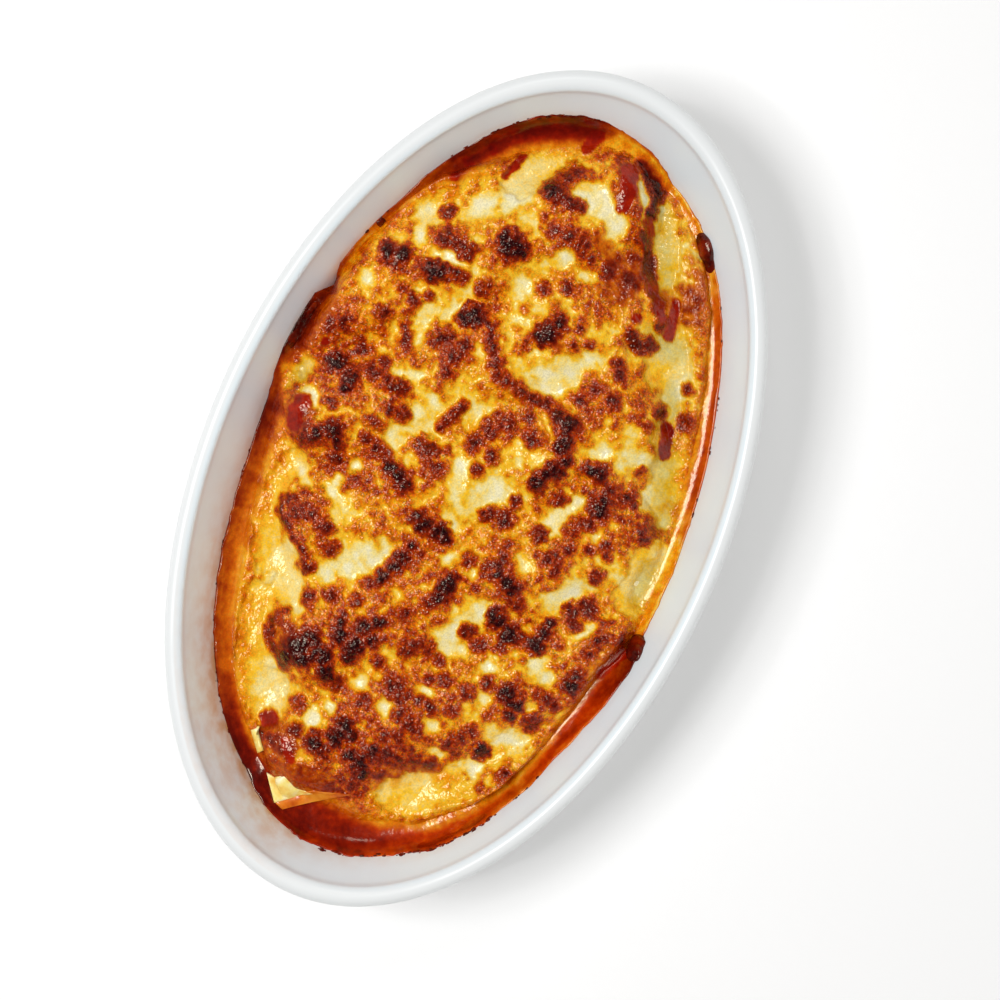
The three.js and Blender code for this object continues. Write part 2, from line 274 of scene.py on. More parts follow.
def oval_skin(name, rings, sides):
    """A closed skin through level ovals (half length, half width, height), each drawn on from the one before."""
    deselect()
    bpy.ops.mesh.primitive_circle_add(vertices=sides, radius=1)
    piece = bpy.context.object
    piece.name = piece.data.name = name
    bpy.ops.object.mode_set(mode="EDIT")
    bpy.ops.mesh.select_all(action="SELECT")
    length, width, height = rings[0]
    bpy.ops.transform.resize(value=(length, width, 1))
    bpy.ops.transform.translate(value=(0, 0, height))
    for next_length, next_width, next_height in rings[1:]:
        bpy.ops.mesh.extrude_edges_move()
        bpy.ops.transform.resize(value=(next_length / length, next_width / width, 1))
        bpy.ops.transform.translate(value=(0, 0, next_height - height))
        length, width, height = next_length, next_width, next_height
    bpy.ops.mesh.select_all(action="DESELECT")
    bpy.ops.mesh.select_mode(type="EDGE")
    bpy.ops.mesh.select_non_manifold()
    bpy.ops.mesh.edge_face_add()
    bpy.ops.mesh.select_all(action="SELECT")
    bpy.ops.mesh.normals_make_consistent(inside=False)
    bpy.ops.object.mode_set(mode="OBJECT")
    bpy.ops.object.shade_smooth()
    return piece


def points_of(piece):
    flat = np.empty(len(piece.data.vertices) * 3)
    piece.data.vertices.foreach_get("co", flat)
    return flat.reshape(-1, 3)


def put_points(piece, points):
    piece.data.vertices.foreach_set("co", np.ascontiguousarray(points).ravel())
    piece.data.update()


def paint_on(piece, layers):
    """Stores named layers on a piece, one value for all its points or one for each, for its material to read."""
    for name, values in layers.items():
        layer = piece.data.attributes.new(name, "FLOAT", "POINT")
        layer.data.foreach_set("value", np.full(len(layer.data), values, dtype=np.float32))


def painted(tree, name):
    return add_node(tree, "ShaderNodeAttribute", attribute_name=name).outputs["Fac"]


def object_place(tree):
    return add_node(tree, "ShaderNodeTexCoord").outputs["Object"]


def noise_over(tree, where, scale, detail):
    return add_node(tree, "ShaderNodeTexNoise", {"Vector": where, "Scale": scale, "Detail": detail}).outputs["Fac"]


def worked_out(tree, operation, *values):
    return add_node(tree, "ShaderNodeMath", dict(enumerate(values)), operation=operation).outputs["Value"]


def roughen(tree, shader, height, distance, strength=1.0):
    """Lays a fine relief over a finish."""
    relief = add_node(tree, "ShaderNodeBump", {"Height": height, "Strength": strength, "Distance": distance})
    tree.links.new(relief.outputs["Normal"], shader.inputs["Normal"])


def smoothstep(low, high, x):
    t = np.clip((np.asarray(x) - low) / (high - low), 0, 1)
    return t * t * (3 - 2 * t)


crest = dish_high.z - RIM_RADIUS
floor_edge = (FLOOR_CORNER_INSET, FLOOR_TOP)
inside = [(inset, FLOOR_TOP) for inset in FLOOR_RINGS] + [floor_edge]
inside += bend(floor_edge, (CORNER_PULL_INSET, FLOOR_TOP), WALL_FOOT, CORNER_STEPS)
inside += bend(WALL_FOOT, halfway(WALL_FOOT, WALL_TOP), WALL_TOP, WALL_STEPS)
bead = [
    (RIM_RADIUS * (1 + math.cos(turn)), crest + RIM_RADIUS * math.sin(turn))
    for turn in np.linspace(0, math.pi, BEAD_POINTS)
]
outer_top = (RIM_RADIUS, OUTER_WALL_TOP)
outer_foot = (WALL_FOOT[0] - WALL_THICKNESS, WALL_FOOT[1])
foot_top = (FOOT_INSET - FOOT_FILLET, FOOT_HEIGHT)
foot_inner = FOOT_INSET + FOOT_WIDTH
outside = bend(bead[-1], (0, crest - RIM_RADIUS), outer_top, LIP_STEPS)
outside += bend(outer_top, halfway(outer_top, outer_foot), outer_foot, OUTER_STEPS)
outside += bend(outer_foot, (WALL_FOOT[0] - UNDERSIDE_PULL, FOOT_HEIGHT), foot_top, OUTER_STEPS)
outside += [(FOOT_INSET - FOOT_BEVEL, FOOT_BEVEL), (FOOT_INSET, 0.0), (foot_inner, 0.0)]
outside += [(foot_inner + FOOT_BEVEL, FOOT_BEVEL), (foot_inner + FOOT_FILLET, FOOT_RECESS)]
outside += [(inset, FOOT_RECESS) for inset in reversed(FLOOR_RINGS)]
rings = [(*oval_at(inset), height) for inset, height in inside + bead + outside]
dish = oval_skin("gratin_dish", rings, DISH_SIDES)

tree, shader, glaze = finish_of("white_glaze", Roughness=GLAZE_ROUGHNESS)
where = object_place(tree)
white = blended(tree, noise_over(tree, where, 22.0, 3.0), colour(228, 231, 232), colour(234, 236, 236))
# Inside the wall, a cooler white is painted against the warm light that the food throws on it.
cooled_against_food_light = blended(tree, painted(tree, "inside"), white, colour(234, 245, 250))
height_above = add_node(tree, "ShaderNodeSeparateXYZ", {"Vector": where}).outputs["Z"]
bare_foot = ranged(tree, height_above, 0.0004, 0.0009, 1.0, 0.0)
body = blended(tree, bare_foot, cooled_against_food_light, colour(206, 192, 170))
# A warm stain above the food: a film of fat, and on the lower left wall painted shade and reflection of the food too.
streaky = ranged(tree, noise_over(tree, where, 240.0, 3.0), 0.35, 0.65, 0.5, 1.0)
fat_and_shade = worked_out(tree, "MULTIPLY", painted(tree, "fat_film_and_shade"), streaky)
stained_and_shaded = blended(tree, fat_and_shade, body, colour(226, 156, 90), "MULTIPLY")
tree.links.new(stained_and_shaded, shader.inputs["Base Color"])
rough = ranged(tree, bare_foot, 0.0, 1.0, GLAZE_ROUGHNESS, BARE_ROUGHNESS)
tree.links.new(rough, shader.inputs["Roughness"])
roughen(tree, shader, noise_over(tree, where, 60.0, 1.0), 0.0008, 0.35)
# Where that painted cooler white lies: the inside of the wall that faces the food, within the rim.
points = points_of(dish)
normals = np.array([normal.vector for normal in dish.data.vertex_normals])
faces_food = (normals[:, :2] * points[:, :2]).sum(axis=1) < 0
across_rim = np.hypot(points[:, 0] / dish_high.x, points[:, 1] / dish_high.y)
paint_on(dish, {"inside": smoothstep(*FOOD_LIGHT_FADE, across_rim) * faces_food})
dish.data.materials.append(glaze)
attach(dish, "root")
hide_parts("dish")

# The crust: grated cheese melted over the rolls and browned under the grill. Pools of melt stay cream, the thin and
# high places turn gold and grainy, and blisters rise and char. It is one sheet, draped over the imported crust's form.
FOOD_HALF_LENGTH = 0.118
FOOD_HALF_WIDTH = 0.0685
CRUST_CELLS = (400, 216)
UNDERSIDE_CELLS = (50, 27)
CRUST_HEIGHT = 0.036  # where the crust's pixels are read
PIXEL_ON_FOOD = PIXEL_AT_RIM * (camera_place.z - CRUST_HEIGHT) / (camera_place.z - RIM_HEIGHT)
CRUST_UNDER = 0.0022
EDGE_UNDER = 0.004
DRAPE_SOFTNESS = 3  # cells
EDGE_FALL = (-0.02, 0.09)  # over what share of its reach the crust runs down on to the sauce
OVER_SAUCE = 0.0002
BLISTER_RISE = 0.0012
RED_RISE = 0.0006
POOL_SINK = 0.0004
MELT_STEP = 0.0012  # how much lower the smooth melt lies than the browned crust
HOLLOW_DEPTH = 0.0020
SMALL_BUBBLE = (0.0026, 0.0006, 0.20)  # how wide, how high, and how much browner on top than between
TINY_BUBBLE = (0.0014, 0.0004, 0.12)
UNEVENNESS = (0.006, 0.0005)  # how wide and how high the sheet's own lumps are
SAUCE_LEVEL = 0.0295  # round the ends of the rolls
SAUCE_LIP = 0.024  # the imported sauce's edge lies higher than this
EDGE_READINGS = 120  # round the oval
EDGE_READING_WIDTH = 0.07  # in radians, to both sides
PATCH_SIZE = 0.012
RAGGED_SIZES = (0.0060, 0.0020)
CLOT_SIZE = 0.0028
ABOVE_FOOD = 0.2  # from where rays are cast down

# How far the food has baked, from 0 for fresh melt to 1 for char
CREAM = 0.07
PALE = 0.08
SMOOTH = 0.19
YELLOW = 0.26
UNMARKED = 0.37
FATTY = 0.42
GOLD = 0.44
RED = 0.46
BLISTER_RIM, BLISTER_CORE = 0.54, 0.72
CHARRED_RIM, CHARRED_CORE = 0.62, 0.90

# The sauce along the wall, at angles round the oval in degrees: how wide it shows in metres, how red it is from 0 for
# browned fat to 1 for tomato, how deep its tone is, and the tone of the line that it baked on to the wall
SAUCE_BAND_AT = [
    (-180, 0.0145, 0.95, 0.58, 0.36), (-172, 0.0125, 0.95, 0.56, 0.30), (-165, 0.0095, 0.95, 0.50, 0.24),
    (-158, 0.0080, 0.95, 0.46, 0.30), (-150, 0.0055, 0.95, 0.42, 0.36), (-138, 0.0042, 0.90, 0.42, 0.20),
    (-131, 0.0036, 0.80, 0.46, 0.20), (-125, 0.0044, 0.95, 0.42, 0.16), (-112, 0.0065, 0.95, 0.44, 0.20),
    (-107, 0.0055, 0.90, 0.48, 0.55), (-103, 0.0022, 0.40, 0.60, 0.95), (-98, 0.0006, 0.20, 0.34, 0.50),
    (-86, 0.0003, 0.30, 0.26, 0.30), (-82, 0.0022, 0.70, 0.36, 0.28), (-74, 0.0042, 0.85, 0.42, 0.28),
    (-58, 0.0038, 0.85, 0.40, 0.28), (-44, 0.0036, 0.80, 0.38, 0.28), (-36, 0.0008, 0.30, 0.26, 0.35),
    (-22, 0.0004, 0.20, 0.26, 0.40), (-10, 0.0010, 0.30, 0.40, 0.50), (0, 0.0016, 0.50, 0.40, 0.50),
    (5, 0.0070, 0.95, 0.58, 0.66), (14, 0.0084, 0.98, 0.60, 0.62), (24, 0.0078, 0.98, 0.60, 0.62),
    (32, 0.0088, 0.95, 0.60, 0.64), (39, 0.0078, 0.90, 0.60, 0.62), (45, 0.0034, 0.60, 0.50, 0.56),
    (60, 0.0010, 0.40, 0.44, 0.50), (68, 0.0022, 0.60, 0.56, 0.60), (74, 0.0050, 0.70, 0.74, 0.86),
    (79, 0.0050, 0.60, 0.78, 0.95), (84, 0.0018, 0.40, 0.50, 0.66), (90, 0.0062, 0.80, 0.62, 0.74),
    (98, 0.0066, 0.64, 0.47, 0.66), (118, 0.0080, 0.58, 0.41, 0.62), (135, 0.0080, 0.66, 0.45, 0.64),
    (144, 0.0062, 0.88, 0.60, 0.68), (152, 0.0056, 0.95, 0.64, 0.76), (160, 0.0080, 0.95, 0.62, 0.70),
    (168, 0.0125, 0.95, 0.60, 0.50),
]

# Over what width the sauce curves up the wall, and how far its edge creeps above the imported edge, at angles round
# the oval
CREEP_AT = [
    (-180, 0.0024, 0.0022), (-150, 0.0024, 0.0014), (-112, 0.0024, 0.0014), (-90, 0.0018, 0.0020),
    (-50, 0.0016, 0.0020), (-20, 0.0018, 0.0010), (10, 0.0022, 0.0002), (80, 0.0024, 0.0), (110, 0.0030, 0.0004),
    (145, 0.0028, 0.0), (165, 0.0026, 0.0012),
]

# Marks read off the picture: pixel across, pixel down and radius, or a streak on to a second pixel
GOLDEN_ZONES = [
    (345, 395, 50), (330, 440, 34), (305, 515, 24), (390, 600, 34), (325, 640, 48), (350, 740, 46), (400, 700, 30),
    (400, 495, 26), (432, 462, 16), (480, 325, 16), (388, 274, 24), (448, 346, 22), (598, 400, 24), (600, 500, 28),
    (560, 555, 20), (500, 578, 22), (502, 632, 18), (440, 590, 20), (572, 238, 26), (505, 250, 22), (618, 280, 24),
    (440, 245, 26), (566, 188, 20), (500, 700, 28), (448, 700, 18), (582, 680, 24), (565, 428, 20), (552, 482, 16),
    (532, 715, 18), (300, 772, 26), (390, 765, 30), (468, 745, 20), (580, 612, 14), (541, 638, 14), (418, 646, 18),
    (350, 600, 14), (372, 450, 22), (505, 424, 16), (500, 517, 18), (345, 325, 30), (556, 332, 20), (640, 300, 18),
    (425, 545, 26), (520, 395, 10, 490, 340), (640, 530, 22), (610, 640, 18), (330, 680, 24), (284, 632, 9, 288, 652),
]
YELLOW_ZONES = [
    (482, 215, 24), (440, 212, 20), (395, 228, 16), (345, 285, 22), (520, 470, 30), (470, 492, 26), (610, 230, 20),
    (560, 362, 36), (424, 412, 20), (345, 520, 24), (285, 560, 22), (280, 605, 22), (266, 700, 24), (318, 712, 18),
    (360, 674, 16), (450, 640, 18), (500, 735, 36), (420, 795, 34), (596, 598, 30), (640, 582, 24), (620, 455, 32),
    (664, 380, 26), (664, 262, 22), (560, 162, 32), (600, 202, 20), (690, 250, 15), (360, 560, 28), (525, 560, 18),
    (480, 612, 16), (535, 285, 26), (460, 300, 18), (400, 330, 14), (556, 505, 20), (660, 500, 22), (270, 480, 18),
    (255, 620, 16), (470, 380, 14), (590, 345, 18), (500, 300, 14), (440, 470, 10, 460, 520), (428, 300, 16),
    (432, 322, 12), (505, 322, 12), (545, 455, 13), (352, 420, 12), (425, 432, 14), (365, 576, 13), (466, 612, 14),
    (478, 600, 10), (552, 606, 14), (437, 255, 10), (465, 275, 12),
]
CREAM_POOLS = [
    (554, 150, 11, 540, 160), (524, 184, 11, 510, 196), (534, 172, 8), (490, 200, 7), (596, 198, 12), (582, 192, 8),
    (606, 212, 9), (620, 224, 9), (424, 215, 9), (418, 232, 6), (450, 256, 6, 458, 260), (366, 277, 8), (565, 256, 8),
    (522, 286, 8), (480, 204, 8), (414, 375, 6), (400, 374, 4), (422, 410, 9), (430, 402, 6), (392, 446, 7, 396, 430),
    (468, 404, 9), (480, 410, 6), (545, 382, 12), (570, 374, 10), (531, 358, 7), (590, 362, 7), (560, 364, 6),
    (356, 466, 6), (460, 466, 6, 456, 492), (470, 498, 10), (496, 488, 11), (486, 498, 9), (606, 440, 10),
    (628, 442, 12), (640, 456, 8), (600, 454, 7), (552, 516, 5, 580, 503), (550, 528, 8), (524, 563, 9),
    (574, 592, 10), (558, 597, 9), (592, 584, 6), (345, 563, 11), (370, 555, 9), (387, 549, 6), (328, 575, 7),
    (450, 638, 10), (462, 650, 6), (360, 684, 6), (312, 717, 8), (330, 708, 5), (384, 709, 7), (425, 692, 7),
    (432, 727, 6), (536, 668, 10), (546, 676, 7), (505, 738, 9), (490, 732, 7), (520, 742, 6), (470, 770, 8),
    (405, 787, 11), (386, 793, 9), (421, 780, 8), (436, 795, 7), (480, 612, 9), (488, 668, 5), (450, 528, 5),
    (448, 558, 5), (580, 634, 4, 592, 626), (600, 560, 5), (300, 466, 5, 304, 480), (281, 560, 10), (275, 576, 8),
    (290, 547, 6), (266, 692, 12), (276, 679, 8), (258, 704, 7), (632, 590, 9), (644, 582, 7), (660, 558, 7),
    (333, 490, 4, 338, 478), (484, 700, 6), (528, 708, 6), (455, 768, 6), (296, 606, 6), (267, 668, 7, 268, 690),
    (262, 698, 10, 272, 690), (285, 556, 8, 292, 590),
]
PALE_VALLEYS = [
    (660, 210, 10), (662, 250, 12), (668, 280, 9), (655, 345, 14), (676, 350, 13), (680, 390, 13),
    (641, 178, 3, 648, 214), (672, 410, 10), (660, 470, 13), (655, 500, 11), (665, 520, 8), (636, 348, 12),
    (300, 365, 11), (310, 395, 7), (640, 590, 9), (650, 575, 8),
]
SMOOTH_MELT = [
    (292, 462, 12, 268, 500), (262, 500, 14, 268, 560), (284, 562, 15, 288, 592), (258, 600, 16, 246, 690),
    (266, 690, 18, 262, 712), (300, 362, 12), (668, 370, 22, 662, 300), (672, 430, 16, 668, 500),
    (655, 560, 18, 632, 600), (400, 800, 22, 450, 795), (560, 150, 16, 520, 180), (664, 230, 16, 664, 270),
]
BROWN_BLISTERS = [
    (282, 500, 2, 280, 513), (280, 513, 2, 290, 530), (294, 538, 2, 310, 560), (284, 611, 3, 270, 622),
    (268, 632, 3, 272, 650), (276, 656, 2, 283, 670), (258, 735, 3, 268, 772), (272, 772, 4, 296, 786),
    (296, 786, 4, 345, 797), (646, 236, 4, 652, 285), (654, 292, 5, 663, 325), (630, 335, 4, 640, 350), (576, 170, 7),
    (566, 178, 8), (570, 204, 5, 580, 208), (560, 197, 7), (448, 212, 6), (446, 236, 8), (456, 244, 5), (468, 251, 8),
    (395, 263, 6), (421, 265, 5, 440, 275), (448, 272, 5, 462, 277), (318, 292, 9), (556, 230, 9), (568, 237, 8),
    (585, 246, 9), (592, 257, 6), (544, 290, 6), (568, 288, 6), (484, 290, 8), (610, 271, 8), (628, 280, 9),
    (330, 322, 9), (345, 320, 8), (362, 348, 8), (326, 355, 6), (372, 370, 8), (384, 362, 5), (398, 388, 9),
    (386, 380, 5), (402, 414, 7), (388, 409, 6), (385, 313, 8), (404, 326, 4, 406, 346), (446, 340, 9), (455, 355, 9),
    (462, 347, 7), (438, 337, 6), (447, 373, 6), (464, 405, 3, 441, 427), (305, 436, 8), (336, 460, 8), (356, 479, 6),
    (376, 450, 9), (366, 440, 6), (386, 456, 6), (428, 450, 10), (420, 444, 6), (437, 468, 6), (488, 322, 4, 492, 345),
    (492, 345, 4, 497, 372), (500, 378, 4, 522, 393), (522, 393, 5, 550, 406), (490, 430, 8), (508, 424, 7),
    (492, 456, 7), (475, 444, 8), (532, 438, 8), (530, 416, 4), (526, 345, 5), (580, 326, 5), (573, 345, 4),
    (589, 345, 4), (594, 390, 7), (612, 401, 7), (618, 364, 4, 620, 378), (650, 345, 6), (660, 411, 6), (688, 424, 7),
    (690, 390, 5), (641, 474, 4), (298, 507, 10), (289, 500, 5), (311, 516, 6), (325, 528, 8), (331, 548, 7),
    (306, 566, 7), (370, 584, 6), (430, 605, 5), (309, 597, 6), (332, 595, 6), (358, 600, 6), (414, 644, 10),
    (428, 650, 8), (405, 652, 5), (405, 614, 5), (377, 660, 5), (272, 621, 3, 268, 640), (468, 632, 7), (490, 516, 7),
    (505, 520, 8), (539, 534, 7), (574, 530, 9), (588, 523, 7), (611, 490, 6), (628, 500, 8), (642, 534, 8),
    (590, 550, 5), (568, 548, 5), (546, 560, 8), (555, 570, 7), (508, 545, 4, 500, 565), (490, 570, 8), (518, 604, 7),
    (478, 645, 7), (570, 612, 7), (586, 607, 8), (574, 625, 5), (596, 577, 7), (606, 557, 4), (600, 640, 7),
    (613, 660, 7), (576, 675, 5), (338, 688, 8), (299, 705, 7), (362, 700, 7), (392, 686, 9), (402, 695, 7),
    (400, 715, 8), (410, 726, 9), (398, 736, 6), (430, 678, 5), (430, 707, 6), (452, 708, 6), (325, 750, 7),
    (388, 752, 8), (398, 761, 7), (430, 766, 7), (272, 766, 8), (271, 740, 6), (287, 748, 8), (310, 784, 7),
    (328, 790, 6), (467, 692, 6), (488, 684, 5), (529, 724, 8), (546, 698, 6), (580, 678, 6), (555, 706, 5),
    (462, 736, 8), (472, 732, 6), (508, 778, 7), (346, 800, 5), (470, 560, 6), (476, 470, 5), (516, 500, 5),
    (560, 500, 6), (605, 545, 5), (440, 660, 5), (445, 680, 6), (500, 650, 5), (520, 640, 5), (445, 745, 7),
    (455, 755, 5), (420, 700, 4), (330, 400, 6), (415, 300, 5), (430, 296, 4), (404, 288, 5), (580, 400, 5),
    (555, 555, 4), (620, 640, 6), (590, 655, 6), (296, 730, 5), (300, 770, 6), (384, 735, 6),
]
# The first three charred marks run along the dark gap between the last roll's open end and the wall: part char, part
# painted shadow in that gap.
CHARRED_BLISTERS_AND_GAP_SHADOW = [
    (645, 162, 6, 653, 178), (653, 178, 7, 660, 194), (658, 196, 3, 652, 214), (388, 252, 9), (402, 254, 8),
    (438, 274, 9), (430, 268, 6), (553, 190, 9), (512, 248, 13), (505, 240, 7), (521, 253, 8), (476, 314, 11),
    (466, 318, 6), (550, 332, 10), (540, 338, 8), (560, 323, 6), (336, 364, 10), (352, 379, 9), (346, 388, 5),
    (318, 432, 9), (332, 432, 10), (338, 441, 7), (398, 474, 9), (388, 466, 5), (404, 485, 6), (566, 424, 12),
    (558, 414, 7), (563, 446, 8), (558, 471, 9), (567, 462, 5), (538, 483, 9), (545, 476, 5), (600, 474, 10),
    (590, 470, 7), (598, 510, 11), (604, 501, 7), (424, 524, 10), (438, 532, 9), (416, 518, 6), (446, 540, 5),
    (403, 556, 9), (394, 566, 7), (412, 546, 4), (382, 578, 7), (446, 586, 9), (440, 598, 8), (452, 578, 5),
    (506, 582, 8), (514, 590, 6), (498, 574, 5), (498, 622, 9), (508, 634, 8), (494, 612, 5), (545, 632, 7),
    (535, 645, 9), (551, 624, 5), (296, 648, 10), (312, 638, 9), (320, 656, 10), (325, 674, 8), (285, 655, 6),
    (304, 660, 7), (342, 620, 7), (340, 634, 9), (362, 628, 11), (380, 622, 7), (356, 645, 11), (372, 640, 8),
    (350, 657, 5), (345, 728, 11), (335, 738, 8), (355, 735, 6), (315, 742, 9), (360, 763, 11), (371, 752, 8),
    (350, 755, 7), (362, 775, 7), (508, 693, 9), (514, 705, 9), (510, 715, 7), (572, 684, 9), (481, 751, 8),
    (308, 308, 8), (304, 322, 10), (294, 344, 9), (318, 296, 7), (288, 356, 6), (300, 334, 9),
]
RED_PATCHES = [
    (631, 171, 8, 624, 206), (654, 286, 5, 662, 318), (678, 304, 5, 670, 336), (668, 430, 5, 666, 455),
    (301, 402, 8, 294, 424), (588, 146, 6, 600, 134), (505, 175, 3, 525, 155), (467, 160, 5), (455, 176, 5),
    (494, 148, 5), (325, 342, 4), (268, 722, 9), (286, 742, 4, 291, 760), (624, 655, 5, 600, 678),
    (648, 222, 3, 652, 232), (636, 318, 4),
]
# Where the sauce shows through the cheese and reddens it
REDDENED = [
    (255, 430, 9, 240, 540), (290, 642, 12), (285, 745, 18), (322, 782, 10, 290, 768), (602, 672, 13, 632, 650),
    (642, 268, 14, 620, 290), (690, 300, 10, 702, 250), (668, 510, 8), (380, 782, 10, 430, 775),
    (450, 160, 10, 490, 148), (430, 178, 8), (300, 410, 12), (395, 252, 8), (665, 300, 12, 690, 315), (560, 345, 5),
    (330, 300, 8, 300, 340), (600, 240, 6, 615, 262),
]
# Hollows by the rolls' ends, lowered and painted in shade
HOLLOWS = [
    (650, 168, 6, 656, 196), (659, 205, 11, 664, 292), (660, 338, 12, 676, 350), (672, 392, 8, 674, 416),
    (668, 425, 10, 664, 500), (668, 508, 9, 662, 530), (650, 572, 9, 640, 600), (634, 345, 8), (300, 372, 8, 292, 392),
]
# Where it has baked a little more, or a little less, than round about. The first mark of the darker list, along the
# rolls' ends on the right, is painted shade.
WELL_BAKED_AND_SHADED = [
    (652, 245, 7, 662, 305), (500, 165, 8), (590, 176, 7), (620, 152, 10, 628, 182), (270, 455, 10, 285, 478),
    (445, 780, 12, 430, 815), (612, 604, 8), (625, 520, 8), (285, 405, 8), (545, 145, 6, 575, 148), (655, 365, 7),
    (270, 600, 8), (662, 294, 13, 674, 322), (616, 186, 6, 620, 200), (586, 180, 8), (626, 342, 9),
    (655, 385, 8, 640, 400), (605, 435, 10, 680, 445), (672, 514, 9), (275, 772, 9, 330, 792), (395, 772, 9, 445, 765),
    (530, 700, 10), (580, 700, 9), (690, 440, 8), (540, 502, 7), (470, 499, 7), (650, 250, 8), (530, 360, 7),
    (300, 410, 8), (390, 225, 12), (368, 250, 10), (350, 280, 14), (318, 308, 14), (383, 330, 9), (500, 300, 12),
    (300, 345, 14), (318, 372, 9), (480, 392, 9), (262, 450, 16), (250, 490, 16), (541, 500, 9), (425, 405, 7),
    (240, 610, 18), (235, 655, 14), (302, 545, 9), (360, 530, 9), (415, 560, 9), (436, 614, 12), (388, 640, 8),
    (528, 580, 12, 518, 555), (606, 590, 9), (530, 690, 11), (445, 696, 8), (372, 715, 9), (425, 737, 11),
    (400, 770, 24, 350, 778), (648, 345, 9), (636, 378, 11), (660, 440, 13), (640, 425, 12), (668, 515, 9),
    (590, 620, 10), (625, 628, 9, 632, 648), (612, 668, 12), (700, 296, 10), (690, 320, 10, 700, 300),
    (380, 785, 12, 330, 780), (640, 260, 8, 630, 200), (578, 178, 8), (525, 150, 8), (445, 450, 6), (375, 425, 8),
    (460, 575, 8), (475, 590, 6), (255, 705, 7, 256, 730), (286, 630, 8, 290, 655),
]
THINLY_BAKED = [
    (565, 725, 12, 590, 705), (610, 680, 8), (440, 245, 10), (436, 335, 10), (462, 322, 8), (268, 712, 8),
    (330, 765, 8), (440, 755, 8), (490, 400, 7), (325, 400, 8), (605, 655, 7), (545, 465, 8), (470, 555, 8),
    (690, 325, 6), (692, 285, 7), (428, 298, 12), (432, 340, 13), (455, 318, 11), (440, 262, 10), (442, 232, 8),
    (580, 208, 10), (284, 692, 7), (282, 535, 8), (555, 720, 10), (690, 362, 12, 688, 385), (350, 575, 8),
    (372, 588, 8), (505, 600, 8), (465, 625, 8), (530, 635, 8), (400, 590, 7), (296, 602, 6), (640, 590, 6),
    (270, 650, 5), (695, 290, 6), (555, 395, 6), (540, 540, 7), (385, 482, 7), (430, 300, 12), (430, 340, 12),
    (457, 215, 11), (431, 245, 12), (522, 210, 14), (579, 210, 10), (477, 265, 12), (355, 432, 14), (415, 435, 9),
    (477, 463, 11), (543, 466, 11), (511, 495, 7), (331, 520, 10), (308, 580, 10), (344, 590, 8), (374, 573, 10),
    (398, 583, 7), (462, 552, 8), (496, 605, 10), (465, 628, 9), (530, 640, 9), (545, 620, 8), (596, 657, 9),
    (345, 672, 10), (446, 655, 8), (456, 678, 7), (418, 695, 8), (292, 696, 8), (310, 730, 10), (470, 715, 11),
    (518, 722, 11), (558, 722, 9), (477, 778, 8), (590, 270, 11), (520, 325, 10), (522, 375, 9), (570, 440, 6),
    (388, 505, 9), (420, 500, 7), (607, 548, 7), (355, 315, 7), (530, 235, 8), (325, 405, 8), (390, 380, 7),
    (562, 492, 6), (598, 535, 7), (625, 645, 5),
]


def drawn(i, j, layer):
    """A repeatable number from 0 to 1 for each whole-numbered place."""
    wave = np.sin(i * 127.1 + j * 311.7 + layer * 74.7) * 43758.5453
    return wave - np.floor(wave)


def lumps(x, y, size, layer):
    """Smooth lumps of about the given size, from -1 to 1."""
    u, v = x / size, y / size
    i, j = np.floor(u), np.floor(v)
    a, b = smoothstep(0, 1, u - i), smoothstep(0, 1, v - j)
    near = drawn(i, j, layer) * (1 - a) + drawn(i + 1, j, layer) * a
    far = drawn(i, j + 1, layer) * (1 - a) + drawn(i + 1, j + 1, layer) * a
    return 2 * (near * (1 - b) + far * b) - 1


def crumble(x, y, size, layer, octaves=4):
    """Lumps on lumps, each half the size of the last and turned against it."""
    total, share, reach = 0, 0.5, 0
    for octave in range(octaves):
        turn = 0.7 * octave
        u, v = x * math.cos(turn) - y * math.sin(turn), x * math.sin(turn) + y * math.cos(turn)
        total = total + share * lumps(u, v, size / 2**octave, layer + octave)
        reach += share
        share *= 0.55
    return total / reach


def blisters(x, y, size, layer):
    """Round bubbles packed side by side, from 0 between them to 1 on their tops."""
    u, v = x / size, y / size
    i, j = np.floor(u), np.floor(v)
    nearest = np.full(np.shape(x), 9.0)
    for di in (-1, 0, 1):
        for dj in (-1, 0, 1):
            ci, cj = i + di, j + dj
            to_x = ci + 0.15 + 0.7 * drawn(ci, cj, layer) - u
            to_y = cj + 0.15 + 0.7 * drawn(ci, cj, layer + 1) - v
            swell = 0.75 + 0.5 * drawn(ci, cj, layer + 2)
            nearest = np.minimum(nearest, np.hypot(to_x, to_y) / swell)
    return np.clip(1 - nearest**2 * 1.6, 0, 1)


def angle_round(x, y):
    """The angle of a place round the food's oval."""
    return np.arctan2(y / FOOD_HALF_WIDTH, x / FOOD_HALF_LENGTH)


def round_the_dish(table, turn):
    """A table's values at an angle, in radians, between the nearest stated ones."""
    angles, *columns = np.array(table).T
    return [np.interp(np.degrees(turn), angles, values, period=360) for values in columns]


def inner_oval(height):
    """The half length and half width of the dish's inside at a height on its straight wall."""
    share = (height - WALL_FOOT[1]) / (WALL_TOP[1] - WALL_FOOT[1])
    return oval_at(WALL_FOOT[0] + share * (WALL_TOP[0] - WALL_FOOT[0]))


